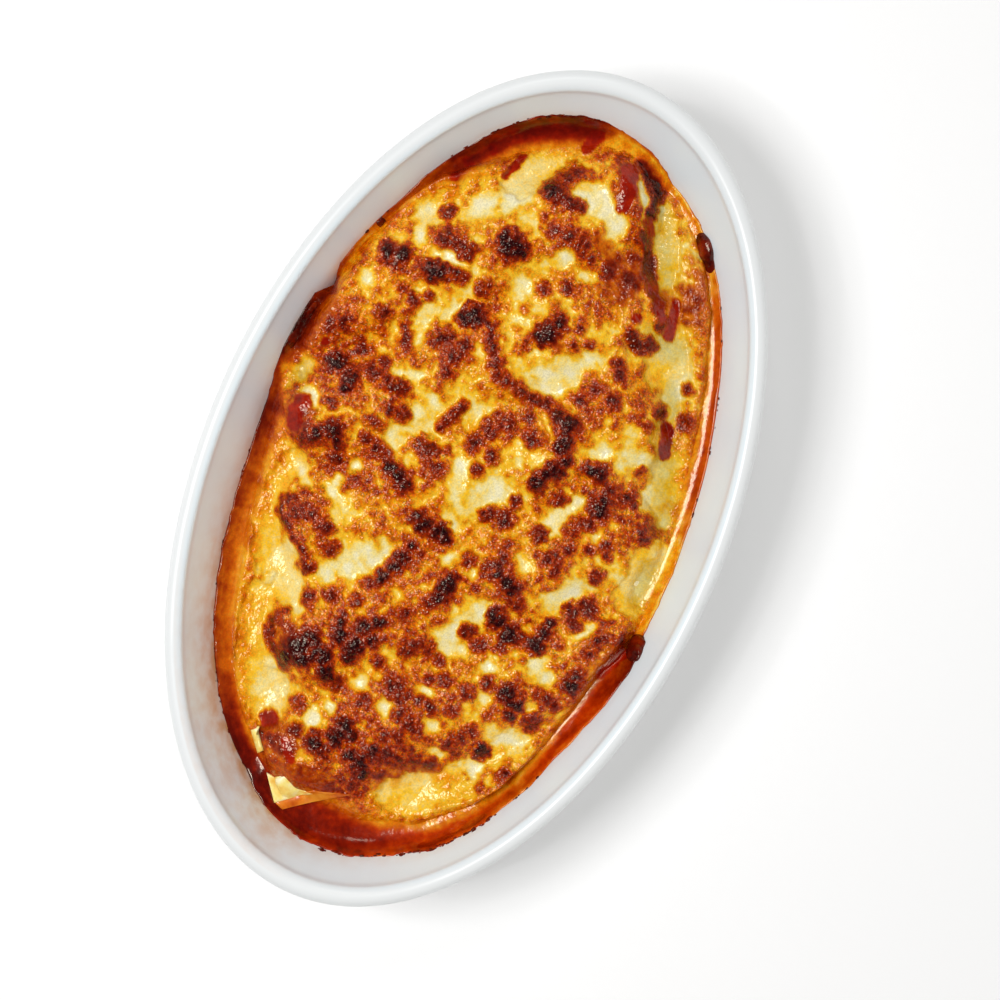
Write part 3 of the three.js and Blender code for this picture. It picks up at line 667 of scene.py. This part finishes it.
def reach_of(name, lowest):
    """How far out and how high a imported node's outermost points are at angles all round the food's oval."""
    shape = points_of(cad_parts[name])
    shape = shape[shape[:, 2] > lowest]
    angle = angle_round(shape[:, 0], shape[:, 1])
    share = np.hypot(shape[:, 0] / FOOD_HALF_LENGTH, shape[:, 1] / FOOD_HALF_WIDTH)
    turns = np.linspace(-math.pi, math.pi, EDGE_READINGS + 1)[:-1]
    outermost = []
    for turn in turns:
        near = np.abs((angle - turn + math.pi) % (2 * math.pi) - math.pi) < EDGE_READING_WIDTH
        outermost.append(np.argmax(np.where(near, share, 0)))
    return turns, share[outermost], shape[outermost, 2]


reach_turns, crust_reach, _ = reach_of("cheese_crust", 0)
_, _, sauce_edge = reach_of("tomato_sauce", SAUCE_LIP)


def edge_height(turn):
    """How high the sauce's edge lies on the wall."""
    _, creep = round_the_dish(CREEP_AT, turn)
    return np.interp(turn, reach_turns, sauce_edge, period=2 * math.pi) + creep


def sauce_surface(x, y):
    """The sauce's height round the rolls' ends and along the wall, and how far a place is from its edge."""
    turn = angle_round(x, y)
    heading = np.arctan2(y, x)
    edge = edge_height(turn)
    length, width = inner_oval(edge)
    from_edge = 1 / np.hypot(np.cos(heading) / length, np.sin(heading) / width) - np.hypot(x, y)
    width_of_climb, _ = round_the_dish(CREEP_AT, turn)
    trough = np.minimum(SAUCE_LEVEL, edge - 0.0015)
    level = trough + (edge - trough) * np.exp(-np.maximum(from_edge - 0.0004, 0) / width_of_climb)
    return level, from_edge, turn


def within_mark(mark, x, y, spare):
    """How far inside a mark's edge each place lies, and the mark's radius, made larger by a spare width."""
    pixel_x, pixel_y, radius, *towards = mark
    start = seen_at(pixel_x, pixel_y, CRUST_HEIGHT)
    run = seen_at(*towards, CRUST_HEIGHT) - start if towards else Vector((0, 0, 0))
    along = ((x - start.x) * run.x + (y - start.y) * run.y) / max(run.length_squared, 1e-12)
    along = np.clip(along, 0, 1)
    reach = radius * PIXEL_ON_FOOD + spare
    return reach - np.hypot(x - start.x - along * run.x, y - start.y - along * run.y), reach


def marked(ground, x, y, marks, level, softness, ragged):
    """Lays a level over the ground inside the marks. Their edges fade over the softness and wander with ragged."""
    for mark in marks:
        within, reach = within_mark(mark, x, y, 0.0004)
        wander = ragged * min(0.4 * reach + 0.0005, 0.003)
        fade = softness * reach
        ground = ground + (level - ground) * smoothstep(-fade, fade, within + wander)
    return ground


def blistered(ground, x, y, marks, rim_level, core_level, ragged):
    """Lays dark blisters over the ground, browner towards their middles, with crisp, wandering edges."""
    for mark in marks:
        within, reach = within_mark(mark, x, y, 0.0005)
        within = within + ragged * min(0.5 * reach + 0.0005, 0.0024)
        level = rim_level + (core_level - rim_level) * smoothstep(0.0, 0.7 * reach, within)
        cover = smoothstep(-0.0014, 0.0004, within)
        ground = np.maximum(ground, ground + (level - ground) * cover)
    return ground


def baked(x, y):
    """How the food has baked at a place: its browning, how much of it is red sauce, how grainy it is, how smooth the
    melt is, and whether it lies in a hollow, which is painted in shade."""
    bare = np.zeros_like(x)
    _, from_edge, turn = sauce_surface(x, y)
    ragged = 0.6 * crumble(x, y, RAGGED_SIZES[0], 41, 3) + 0.7 * crumble(x, y, RAGGED_SIZES[1], 45, 3)
    clotted = crumble(x, y, CLOT_SIZE, 71, 4)
    browning = UNMARKED + 0.12 * crumble(x, y, PATCH_SIZE, 61, 3)
    browning = marked(browning, x, y, YELLOW_ZONES, YELLOW, 0.5, ragged)
    browning = marked(browning, x, y, GOLDEN_ZONES, GOLD, 0.5, ragged)
    browning = marked(browning, x, y, CREAM_POOLS, CREAM, 0.8, ragged)
    browning = marked(browning, x, y, PALE_VALLEYS, PALE, 0.8, ragged)
    smooth = marked(bare, x, y, SMOOTH_MELT, 1.0, 0.12, ragged)
    browning = browning + (0.20 + 0.10 * smoothstep(0.12, 0.42, browning)) * clotted * (1 - 0.6 * smooth)
    browning = browning + marked(bare, x, y, WELL_BAKED_AND_SHADED, 0.15, 0.6, ragged)
    browning = browning - marked(bare, x, y, THINLY_BAKED, 0.12, 0.6, ragged)
    hollow = marked(bare, x, y, HOLLOWS, 1.0, 0.7, 0.5 * ragged)
    browning = browning + 0.6 * (SMOOTH + 0.08 * clotted - browning) * smooth
    browning = blistered(browning, x, y, BROWN_BLISTERS, BLISTER_RIM, BLISTER_CORE, ragged)
    browning = blistered(browning, x, y, CHARRED_BLISTERS_AND_GAP_SHADOW, CHARRED_RIM, CHARRED_CORE, ragged)
    red = marked(bare, x, y, RED_PATCHES, 1.0, 0.2, ragged)
    browning = browning + (RED + 0.12 * clotted - browning) * red
    red = np.maximum(red, marked(bare, x, y, REDDENED, 0.62, 0.7, ragged) * smoothstep(0.15, 0.35, browning))
    band, redness, depth, edge_tone = round_the_dish(SAUCE_BAND_AT, turn)
    band_width = band + 0.0003
    in_band = 1 - smoothstep(0.7, 1.3, (from_edge + 0.0009 * ragged) / band_width)
    inwards = np.maximum(from_edge, 0)
    layers = crumble(turn * 0.09, from_edge * 5, 0.006, 51, 3) * np.exp(-inwards / 0.004)
    band_tone = depth + 0.12 * clotted + 0.16 * layers + (edge_tone - depth) * np.exp(-inwards / 0.0012)
    band_tone = band_tone - 0.20 * smoothstep(0.4, 1.1, from_edge / band_width)
    oiled = 1 - smoothstep(0.0, 0.0045 + 0.35 * np.minimum(band, 0.008), from_edge - band)
    browning = browning + (FATTY + 0.10 * clotted - browning) * oiled * (1 - in_band) * 0.8
    browning = browning + (band_tone - browning) * in_band
    red = np.maximum(red, in_band * redness)
    grain = smoothstep(0.22, 0.5, browning) * (1 - red) * (1 - 0.4 * oiled)
    return browning, red, grain, smooth, hollow * (1 - in_band)


def skin_of(pieces):
    """The faces of some pieces, as one skin that rays can be cast at."""
    corners, faces = [], []
    for piece in pieces:
        faces += [[len(corners) + corner for corner in polygon.vertices] for polygon in piece.data.polygons]
        corners += [vertex.co.copy() for vertex in piece.data.vertices]
    return BVHTree.FromPolygons(corners, faces)


def top_at(skin, x, y):
    """How high a skin's top is over a place, or None beside it."""
    hit = skin.ray_cast(Vector((x, y, ABOVE_FOOD)), Vector((0, 0, -1)))[0]
    return None if hit is None else hit.z


def on_food(u, v):
    """The place on the food of a point of the unit square, the square's edge lying along the crust's edge."""
    a, b = u * np.sqrt(1 - v * v / 2), v * np.sqrt(1 - u * u / 2)
    turn = np.arctan2(b, a)
    reach = np.interp(turn, reach_turns, crust_reach, period=2 * math.pi)
    ragged = 0.010 * crumble(turn * 6, turn * 0, 1.0, 31, 4)
    pulled = 1 - (1 - np.minimum(reach + ragged, 0.980)) * np.hypot(a, b) ** 3
    return a * pulled * FOOD_HALF_LENGTH, b * pulled * FOOD_HALF_WIDTH


def softened(field, spread):
    """A grid of values, each blended with its neighbours over a spread in cells."""
    offsets = np.arange(-3 * spread, 3 * spread + 1)
    weights = np.exp(-0.5 * (offsets / spread) ** 2)
    weights /= weights.sum()
    for axis in (0, 1):
        pad = [(0, 0), (0, 0)]
        pad[axis] = (3 * spread, 3 * spread)
        wide = np.pad(field, pad, mode="edge")
        count = field.shape[axis]
        field = sum(w * np.take(wide, np.arange(k, k + count), axis=axis) for k, w in enumerate(weights))
    return field


def flat_grid(name, columns, rows):
    """A flat square of so many cells, 2 m wide, that a piece is then shaped from."""
    deselect()
    bpy.ops.mesh.primitive_grid_add(x_subdivisions=columns, y_subdivisions=rows, size=2)
    piece = bpy.context.object
    piece.name = piece.data.name = name
    return piece


def cells_of(piece):
    """The column and the row of the food's grid that each point of a flat square lies on."""
    flat = points_of(piece)
    return tuple(np.rint((flat[:, axis] + 1) / 2 * CRUST_CELLS[axis]).astype(int) for axis in (0, 1))


food_nodes = ["cheese_crust", "tomato_sauce", *(f"cannelloni_{number}" for number in range(1, 6))]
packed_food = skin_of([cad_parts[name] for name in food_nodes])
lengthwise, widthwise = (np.linspace(-1, 1, count + 1) for count in CRUST_CELLS)
grid_u, grid_v = np.meshgrid(lengthwise, widthwise, indexing="ij")
grid_x, grid_y = on_food(grid_u, grid_v)
found = [top_at(packed_food, px, py) for px, py in zip(grid_x.ravel(), grid_y.ravel())]
draped = np.array([SAUCE_LEVEL if h is None else h for h in found]).reshape(grid_x.shape)
draped = softened(draped, DRAPE_SOFTNESS)
to_edge = 1 - np.maximum(np.abs(grid_u), np.abs(grid_v))
sauce_under, _, _ = sauce_surface(grid_x, grid_y)
browning, red, grain, smooth, hollow = baked(grid_x, grid_y)
draped = np.maximum(draped - HOLLOW_DEPTH * hollow, sauce_under + OVER_SAUCE)
sinking = (1 - smoothstep(*EDGE_FALL, to_edge)) / (1 - smoothstep(*EDGE_FALL, 0))
draped = draped + (sauce_under - 2 * OVER_SAUCE - draped) * sinking

small_bubbles = blisters(grid_x, grid_y, SMALL_BUBBLE[0], 81)
tiny_bubbles = blisters(grid_x, grid_y, TINY_BUBBLE[0], 91)
raised = BLISTER_RISE * smoothstep(0.48, 0.9, softened(browning, 2)) + RED_RISE * red
raised = raised - POOL_SINK * smoothstep(0.35, 0.05, browning) - MELT_STEP * smooth
raised = raised + grain * (SMALL_BUBBLE[1] * small_bubbles + TINY_BUBBLE[1] * tiny_bubbles)
raised = raised + UNEVENNESS[1] * crumble(grid_x, grid_y, UNEVENNESS[0], 101, 3)
browning = browning + grain * (SMALL_BUBBLE[2] * (small_bubbles - 0.5) + TINY_BUBBLE[2] * (tiny_bubbles - 0.5))
lowest = sauce_under + OVER_SAUCE - 3 * OVER_SAUCE * (1 - smoothstep(0.0, 0.03, to_edge))
crust_top = np.maximum(draped + raised * smoothstep(0, 0.04, to_edge), lowest)
crust_bottom = draped - CRUST_UNDER - (EDGE_UNDER - CRUST_UNDER) * (1 - smoothstep(0, 0.1, to_edge))

crust = flat_grid("browned_cheese", *CRUST_CELLS)
cells = cells_of(crust)
put_points(crust, np.stack([grid_x, grid_y, crust_top], axis=-1)[cells])
paint_on(crust, {"browning": browning[cells], "red": red[cells], "grain": grain[cells], "hollow": hollow[cells]})
underside = flat_grid("crust_underside", *UNDERSIDE_CELLS)
put_points(underside, np.stack([grid_x, grid_y, crust_bottom], axis=-1)[cells_of(underside)])
bpy.ops.object.mode_set(mode="EDIT")
bpy.ops.mesh.select_all(action="SELECT")
bpy.ops.mesh.flip_normals()
bpy.ops.object.mode_set(mode="OBJECT")
crust.select_set(True)
bpy.context.view_layer.objects.active = crust
bpy.ops.object.join()
bpy.ops.object.mode_set(mode="EDIT")
bpy.ops.mesh.select_mode(type="EDGE")
bpy.ops.mesh.select_all(action="DESELECT")
bpy.ops.mesh.select_non_manifold()
bpy.ops.mesh.bridge_edge_loops()
bpy.ops.object.mode_set(mode="OBJECT")
bpy.ops.object.shade_smooth()

# The tones of the food, from unbaked to burnt, of cheese and of sauce
CHEESE_TONES = [
    (0.00, (242, 232, 188)), (0.12, (243, 222, 142)), (0.24, (245, 194, 42)), (0.37, (238, 146, 4)),
    (0.50, (216, 98, 0)), (0.62, (182, 54, 0)), (0.76, (132, 24, 0)), (0.90, (84, 8, 2)), (1.00, (48, 4, 8)),
]
SAUCE_TONES = [
    (0.00, (240, 150, 20)), (0.20, (222, 92, 4)), (0.34, (190, 40, 0)), (0.48, (142, 14, 0)), (0.62, (98, 5, 2)),
    (0.78, (60, 3, 3)), (1.00, (22, 4, 6)),
]
FAT_GLEAM = colour(255, 244, 222)
# The painted shade that darkens the hollows
PAINTED_HOLLOW_SHADE = (0.76, 0.76, 0.63, 1.0)


def ramp_over(tree, share, tones):
    """The colour that a ramp has at a share, its stops each a place from 0 to 1 and a colour."""
    ramp = add_node(tree, "ShaderNodeValToRGB", {"Fac": share})
    stops = ramp.color_ramp.elements
    while len(stops) < len(tones):
        stops.new(1.0)
    for stop, (place, shade) in zip(stops, tones):
        stop.position = place
        stop.color = colour(*shade)
    return ramp.outputs["Color"]


food_tones = bpy.data.node_groups.new("food_tones", "ShaderNodeTree")
for name in ("Browning", "Red", "Grain", "Hollow"):
    food_tones.interface.new_socket(name, in_out="INPUT", socket_type="NodeSocketFloat")
food_tones.interface.new_socket("Color", in_out="OUTPUT", socket_type="NodeSocketColor")
food_tones.interface.new_socket("Height", in_out="OUTPUT", socket_type="NodeSocketFloat")
given = add_node(food_tones, "NodeGroupInput").outputs
where = object_place(food_tones)
clots = noise_over(food_tones, where, 650.0, 2.0)
sugar = noise_over(food_tones, where, 1900.0, 2.0)
crumbs = worked_out(food_tones, "MULTIPLY_ADD", sugar, 0.5, clots)
centred = worked_out(food_tones, "ADD", crumbs, -0.75)
strength = worked_out(food_tones, "MULTIPLY_ADD", given["Grain"], 0.32, 0.2)
tone = worked_out(food_tones, "MULTIPLY_ADD", centred, strength, given["Browning"])
cheese, tomato = (ramp_over(food_tones, tone, tones) for tones in (CHEESE_TONES, SAUCE_TONES))
mixed = blended(food_tones, given["Red"], cheese, tomato)
coarse = worked_out(food_tones, "MULTIPLY_ADD", given["Grain"], 0.76, 0.24)
# A painted fine shade: the food's tone is darkened in small pits and lifted a little between them, more where it is
# grainy.
painted_pit_shade = blended(food_tones, coarse, mixed, ranged(food_tones, sugar, 0.37, 0.61, 0.36, 1.16), "MULTIPLY")
# Painted shade over the hollows.
shaded = blended(food_tones, given["Hollow"], painted_pit_shade, PAINTED_HOLLOW_SHADE, "MULTIPLY")
wrinkling = {"Vector": where, "Scale": 1000.0, "Detail": 1.0, "Roughness": 0.4}
wrinkles = add_node(food_tones, "ShaderNodeTexNoise", wrinkling).outputs["Fac"]
height = worked_out(food_tones, "MULTIPLY", wrinkles, coarse)
add_node(food_tones, "NodeGroupOutput", {"Color": shaded, "Height": height})


def food_finish(name, relief_height, **constants):
    """A material of baked food that reads how it has baked, and the painted shade of its hollows, from the piece's own
    paint.
    """
    tree, shader, material = finish_of(name, Specular_Tint=FAT_GLEAM, **constants)
    tones = add_node(tree, "ShaderNodeGroup", node_tree=food_tones)
    for socket in ("Browning", "Red", "Grain", "Hollow"):
        tree.links.new(painted(tree, socket.lower()), tones.inputs[socket])
    tree.links.new(tones.outputs["Color"], shader.inputs["Base Color"])
    roughen(tree, shader, tones.outputs["Height"], relief_height)
    return material


crust.data.materials.clear()
crust.data.materials.append(food_finish("browned_cheese", 0.0008, Roughness=0.17))
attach(crust, "root")
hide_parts("cheese_crust")

# The tomato sauce round and under the pasta: crushed tomato with oil, reduced in the oven. It climbs the glazed wall,
# dries to a dark line there, and takes up orange fat along the edge of the cheese.
sauce_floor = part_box("tomato_sauce")[0].z
SAUCE_SIDES = 720
SAUCE_BAND = 0.017  # how far in from the wall the sauce is modelled finely
SAUCE_STEP = 0.0006
MIDDLE_SHARES = (0.0, 0.35, 0.7)  # where the coarse rings lie, from the middle out to that band
WALL_SHARES = (0.75, 0.4, 0.0)  # and from the edge down to the wall's foot
FLOOR_SHARES = (1.0, 0.3)  # and on the floor
WALL_GAP = 0.00015
EDGE_ROUNDING = 0.0004
EDGE_ROUNDING_WIDTH = 0.0006
EDGE_WAVES, EDGE_FINGERS = (0.0004, 11), (0.0005, 45)  # how high they are and how many in one radian
LONG_SWELL, SHORT_SWELL = (0.0004, 0.012), (0.00006, 0.0030)  # how high and how wide
SWELL_START = 0.002  # in from the edge
DOUBLES = 0.00001  # points closer than this become one
SAUCE_GRAIN = 0.5  # as a share of the cheese's
FAT_FILM_AND_SHADE_START = 0.004  # below the sauce's edge
# The film of fat on the wall above the sauce, with painted shade and reflection of the food where it is strongest
# on the left, at angles round the oval: how high it reaches and how strong it is
FAT_FILM_AND_SHADE_AT = [
    (-180, 0.0040, 0.40), (-150, 0.0016, 0.25), (-100, 0.0010, 0.20), (-40, 0.0012, 0.20), (20, 0.0012, 0.30),
    (80, 0.0020, 0.40), (100, 0.0050, 0.60), (120, 0.0080, 0.85), (140, 0.0110, 1.00), (168, 0.0100, 1.00),
    (175, 0.0060, 0.70),
]

fine_rings = int(SAUCE_BAND / SAUCE_STEP) + 1
edge_ring = len(MIDDLE_SHARES) + fine_rings - 1
ring_count = edge_ring + 1 + len(WALL_SHARES) + len(FLOOR_SHARES)
sauce = oval_skin("tomato_sauce_pool", [(1, 1, -ring) for ring in range(ring_count)], SAUCE_SIDES)
points = points_of(sauce)
turn = np.arctan2(points[:, 1], points[:, 0])
ring = np.rint(-points[:, 2]).astype(int)
edge = edge_height(turn) + EDGE_WAVES[0] * lumps(turn * EDGE_WAVES[1], turn * 0, 1.0, 21)
edge += EDGE_FINGERS[0] * smoothstep(0.1, 0.9, lumps(turn * EDGE_FINGERS[1], turn * 0, 1.0, 22))
edge_length, edge_width = inner_oval(edge)
edge_top = edge - EDGE_ROUNDING
ovals = [((edge_length - SAUCE_BAND) * share, (edge_width - SAUCE_BAND) * share, edge_top) for share in MIDDLE_SHARES]
for step in reversed(range(fine_rings)):
    inset = WALL_GAP + step * SAUCE_STEP
    ovals.append((edge_length - inset, edge_width - inset, edge_top))
for share in WALL_SHARES:
    height = WALL_FOOT[1] + share * (edge_top - WALL_FOOT[1])
    length, width = inner_oval(height)
    ovals.append((length - WALL_GAP, width - WALL_GAP, height))
floor_length, floor_width = oval_at(FLOOR_CORNER_INSET)
ovals += [(floor_length * share, floor_width * share, sauce_floor) for share in FLOOR_SHARES]
for number, (length, width, height) in enumerate(ovals):
    laid = np.stack([length * np.cos(turn), width * np.sin(turn), height + 0 * turn], axis=1)
    points[ring == number] = laid[ring == number]
x, y = points[:, 0], points[:, 1]
level, from_edge, _ = sauce_surface(x, y)
swell = LONG_SWELL[0] * crumble(x, y, LONG_SWELL[1], 3, 2) + SHORT_SWELL[0] * crumble(x, y, SHORT_SWELL[1], 8, 2)
rounded = EDGE_ROUNDING * np.exp(-np.maximum(from_edge, 0) / EDGE_ROUNDING_WIDTH)
surface = level + swell * smoothstep(0, SWELL_START, from_edge) - rounded
points[:, 2] = np.where(ring < edge_ring, surface, points[:, 2])
put_points(sauce, points)
bpy.ops.object.mode_set(mode="EDIT")
bpy.ops.mesh.select_all(action="SELECT")
bpy.ops.mesh.remove_doubles(threshold=DOUBLES)
bpy.ops.mesh.normals_make_consistent(inside=False)
bpy.ops.object.mode_set(mode="OBJECT")
points = points_of(sauce)
browning, red, grain, _, hollow = baked(points[:, 0], points[:, 1])
paint_on(sauce, {"browning": browning, "red": red, "grain": SAUCE_GRAIN * grain, "hollow": hollow})
# The fat film on the wall above the sauce. Where it is strongest, on the left, it is also painted shade and reflection
# of the food.
points = points_of(dish)
wall_turn = angle_round(points[:, 0], points[:, 1])
stain_and_shade_reach, strength = round_the_dish(FAT_FILM_AND_SHADE_AT, wall_turn)
above_sauce = points[:, 2] - edge_height(wall_turn)
fat_film_and_shade = strength * np.exp(-np.maximum(above_sauce, 0) / stain_and_shade_reach) * (above_sauce > -FAT_FILM_AND_SHADE_START)
paint_on(dish, {"fat_film_and_shade": fat_film_and_shade * faces_food})
sauce.data.materials.append(food_finish("baked_tomato_sauce", 0.00022, Roughness=0.16))
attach(sauce, "root")
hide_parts("tomato_sauce")

# The cannelloni: five tubes of boiled egg pasta, filled and laid side by side under the crust. A little of the first
# one's open end shows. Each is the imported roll, merged and remeshed finely so that its edges turn soft.
PASTA_MESH = 0.0009
PASTA_SOFTENING = (0.5, 4)  # how far each pass moves the points, and how many passes
SHOWN_PIXEL = (290, 798)  # where the first roll's open end shows
SHOWN_REACH = 0.0070
UNDER_CRUST = 0.0012
UNDER_EDGE = 0.0025
EGG_TONES = [(0.3, (240, 184, 60)), (0.5, (250, 228, 128)), (0.7, (253, 242, 196))]


def pasta_of(name, mottle_scale, tones, **constants):
    """A material of cooked pasta, mottled in a few tones, with a faint relief."""
    tree, shader, material = finish_of(name, **constants)
    mottle = noise_over(tree, object_place(tree), mottle_scale, 3.0)
    tree.links.new(ramp_over(tree, mottle, tones), shader.inputs["Base Color"])
    roughen(tree, shader, mottle, 0.0004, 0.3)
    return material


pasta_finish = pasta_of("egg_pasta", 260.0, EGG_TONES, Roughness=0.38, Coat_Weight=0.25, Coat_Roughness=0.15)
covering = skin_of([crust, sauce])
shown_end = seen_at(*SHOWN_PIXEL, CRUST_HEIGHT)
for number in range(1, 6):
    node_name = f"cannelloni_{number}"
    deselect()
    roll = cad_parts[node_name].copy()
    roll.data = roll.data.copy()
    roll.name = roll.data.name = f"pasta_roll_{number}"
    for key in [key for key in roll.keys() if key.startswith("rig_")]:
        del roll[key]
    roll.parent = None
    bpy.context.scene.collection.objects.link(roll)
    roll.select_set(True)
    bpy.context.view_layer.objects.active = roll
    bpy.ops.object.mode_set(mode="EDIT")
    bpy.ops.mesh.select_all(action="SELECT")
    bpy.ops.mesh.remove_doubles(threshold=DOUBLES)
    bpy.ops.object.mode_set(mode="OBJECT")
    remesh = roll.modifiers.new("fine", "REMESH")
    remesh.mode = "VOXEL"
    remesh.voxel_size = PASTA_MESH
    bpy.ops.object.modifier_apply(modifier=remesh.name)
    soften = roll.modifiers.new("soften", "SMOOTH")
    soften.factor, soften.iterations = PASTA_SOFTENING
    bpy.ops.object.modifier_apply(modifier=soften.name)
    points = points_of(roll)
    for point in points:
        cover = top_at(covering, point[0], point[1])
        if cover is None:
            point[2] = min(point[2], edge_height(angle_round(point[0], point[1])) - UNDER_EDGE)
        elif math.hypot(point[0] - shown_end.x, point[1] - shown_end.y) >= SHOWN_REACH:
            point[2] = min(point[2], cover - UNDER_CRUST)
    put_points(roll, points)
    bpy.ops.object.shade_smooth()
    roll.data.materials.clear()
    roll.data.materials.append(pasta_finish)
    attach(roll, "root")
    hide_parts(node_name)

# The first sheet of pasta's corner stands out of the sauce at the dish's near end: the pale flap, the sheet under it
# that the sauce has stained, and the roll's cut edge. Each is a thin sheet bent over what lies under it.
SHEET_THICKNESS = 0.0011
SHEET_CELLS = 16
SHEET_BOW = 0.0004
SHEET_CLEARANCE = 0.0003  # over what lies under it
FLAP = ((265, 776), (273, 806), (312, 796), (287, 789))
STAINED_SHEET = ((272, 804), (281, 813), (350, 797), (312, 792))
CUT_EDGE = ((252, 732), (256, 730), (263, 752), (259, 755))
STAINED_TONES = [(0.3, (170, 58, 4)), (0.5, (218, 112, 18)), (0.7, (236, 150, 44))]


def resting_sheet(name, corners, lifts, finish):
    """A thin sheet between four pixels of the picture that rests on the food, with its corners lifted off it."""
    piece = flat_grid(name, SHEET_CELLS, SHEET_CELLS)
    flat = points_of(piece)
    u, v = (flat[:, 0] + 1) / 2, (flat[:, 1] + 1) / 2
    weights = np.stack([(1 - u) * (1 - v), u * (1 - v), u * v, (1 - u) * v], axis=1)
    places = weights @ np.array([seen_at(*pixel, CRUST_HEIGHT) for pixel in corners])
    lifted = weights @ np.array(lifts) + SHEET_BOW * np.sin(math.pi * u)
    tops = np.array([top_at(covering, x, y) for x, y, _ in places])
    places[:, 2] = np.maximum(0.5 * tops + 0.5 * np.median(tops) + lifted, tops + SHEET_CLEARANCE)
    put_points(piece, places)
    solid = piece.modifiers.new("solid", "SOLIDIFY")
    solid.thickness = SHEET_THICKNESS
    bpy.ops.object.modifier_apply(modifier=solid.name)
    bpy.ops.object.shade_smooth()
    piece.data.materials.append(finish)
    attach(piece, "root")


stained_finish = pasta_of("sauce_stained_pasta", 180.0, STAINED_TONES, Roughness=0.22)
resting_sheet("pasta_flap", FLAP, (0.0010, 0.0008, 0.0003, 0.0006), pasta_finish)
resting_sheet("pasta_cut_edge", CUT_EDGE, (0.0003, 0.0006, 0.0008, 0.0004), pasta_finish)
resting_sheet("stained_pasta_sheet", STAINED_SHEET, (0.0002, 0.0004, 0.0002, 0.0002), stained_finish)

# Sauce that boiled over on to the wall and burnt: a few thick drops, and flakes of crust along the dark edge. They
# cling to the glaze where the picture shows them.
DROPS = [  # pixel across, pixel down, half length along the wall, half width and thickness
    (703, 253, 0.0066, 0.0072, 0.0030), (714, 347, 0.0018, 0.0032, 0.0020), (381, 222, 0.0019, 0.0026, 0.0016),
    (310, 310, 0.0036, 0.0024, 0.0016), (292, 338, 0.0042, 0.0024, 0.0014), (636, 649, 0.0044, 0.0044, 0.0022),
]
FLAKE_RUNS = [  # angles round the oval, from and to, and how many flakes
    (3, 16, 30), (16, 30, 10), (30, 62, 12), (96, 150, 34), (-178, -158, 26), (-158, -140, 46), (-140, -112, 14),
    (-84, -44, 16),
]
FLAKE_SPREAD = (-0.0012, 0.0001)  # below and above the sauce's edge
FLAKE_SIZES = (0.00025, 0.0010)
FINE_FROM = 0.0012  # half the length from which a drop is modelled finely
COARSE_BALL, FINE_BALL = 2, 4  # how often a ball's faces are split
KNOBBLINESS = 0.22
flake_places = np.random.default_rng(7)
burnt = []
for pixel_x, pixel_y, *sizes in DROPS:
    burnt.append((camera_place, seen_at(pixel_x, pixel_y, 0) - camera_place, *sizes))
for start, end, count in FLAKE_RUNS:
    for share, above, size, slim in flake_places.random((count, 4)).tolist():
        size = FLAKE_SIZES[0] + (FLAKE_SIZES[1] - FLAKE_SIZES[0]) * size**2
        turn = math.radians(start + (end - start) * share)
        height = float(edge_height(turn)) + FLAKE_SPREAD[0] + (FLAKE_SPREAD[1] - FLAKE_SPREAD[0]) * above
        outwards = Vector((FOOD_HALF_LENGTH * math.cos(turn), FOOD_HALF_WIDTH * math.sin(turn), 0))
        burnt.append((height * straight_up, outwards, size, size * (0.4 + 0.5 * slim), size * 0.5))
dish_skin = skin_of([dish])
deselect()
parts = []
for start, towards, half_length, half_width, thickness in burnt:
    place, out, _, _ = dish_skin.ray_cast(start, towards.normalized())
    along = straight_up.cross(out).normalized()
    bpy.ops.mesh.primitive_ico_sphere_add(subdivisions=FINE_BALL if half_length > FINE_FROM else COARSE_BALL, radius=1)
    part = bpy.context.object
    ball = points_of(part)
    knobs = lumps(ball[:, 0] * 2 + 900 * place.x, ball[:, 1] * 2 + ball[:, 2] * 2, 1.0, 61)
    on_wall = np.array([along * half_length, out.cross(along) * half_width, out * thickness])
    put_points(part, np.array(place) + (ball * (1 + KNOBBLINESS * knobs[:, None])) @ on_wall)
    parts.append(part)
for part in parts:
    part.select_set(True)
bpy.context.view_layer.objects.active = parts[0]
bpy.ops.object.join()
drops = bpy.context.object
drops.name = drops.data.name = "burnt_drops"
bpy.ops.object.shade_smooth()
points = points_of(drops)
scorched = 0.76 + 0.2 * crumble(points[:, 0], points[:, 1], 0.003, 11, 3)
paint_on(drops, {"browning": scorched, "red": 0.6, "grain": 0.3, "hollow": 0.0})
drops.data.materials.append(food_finish("burnt_sauce", 0.0004, Roughness=0.2))
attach(drops, "root")
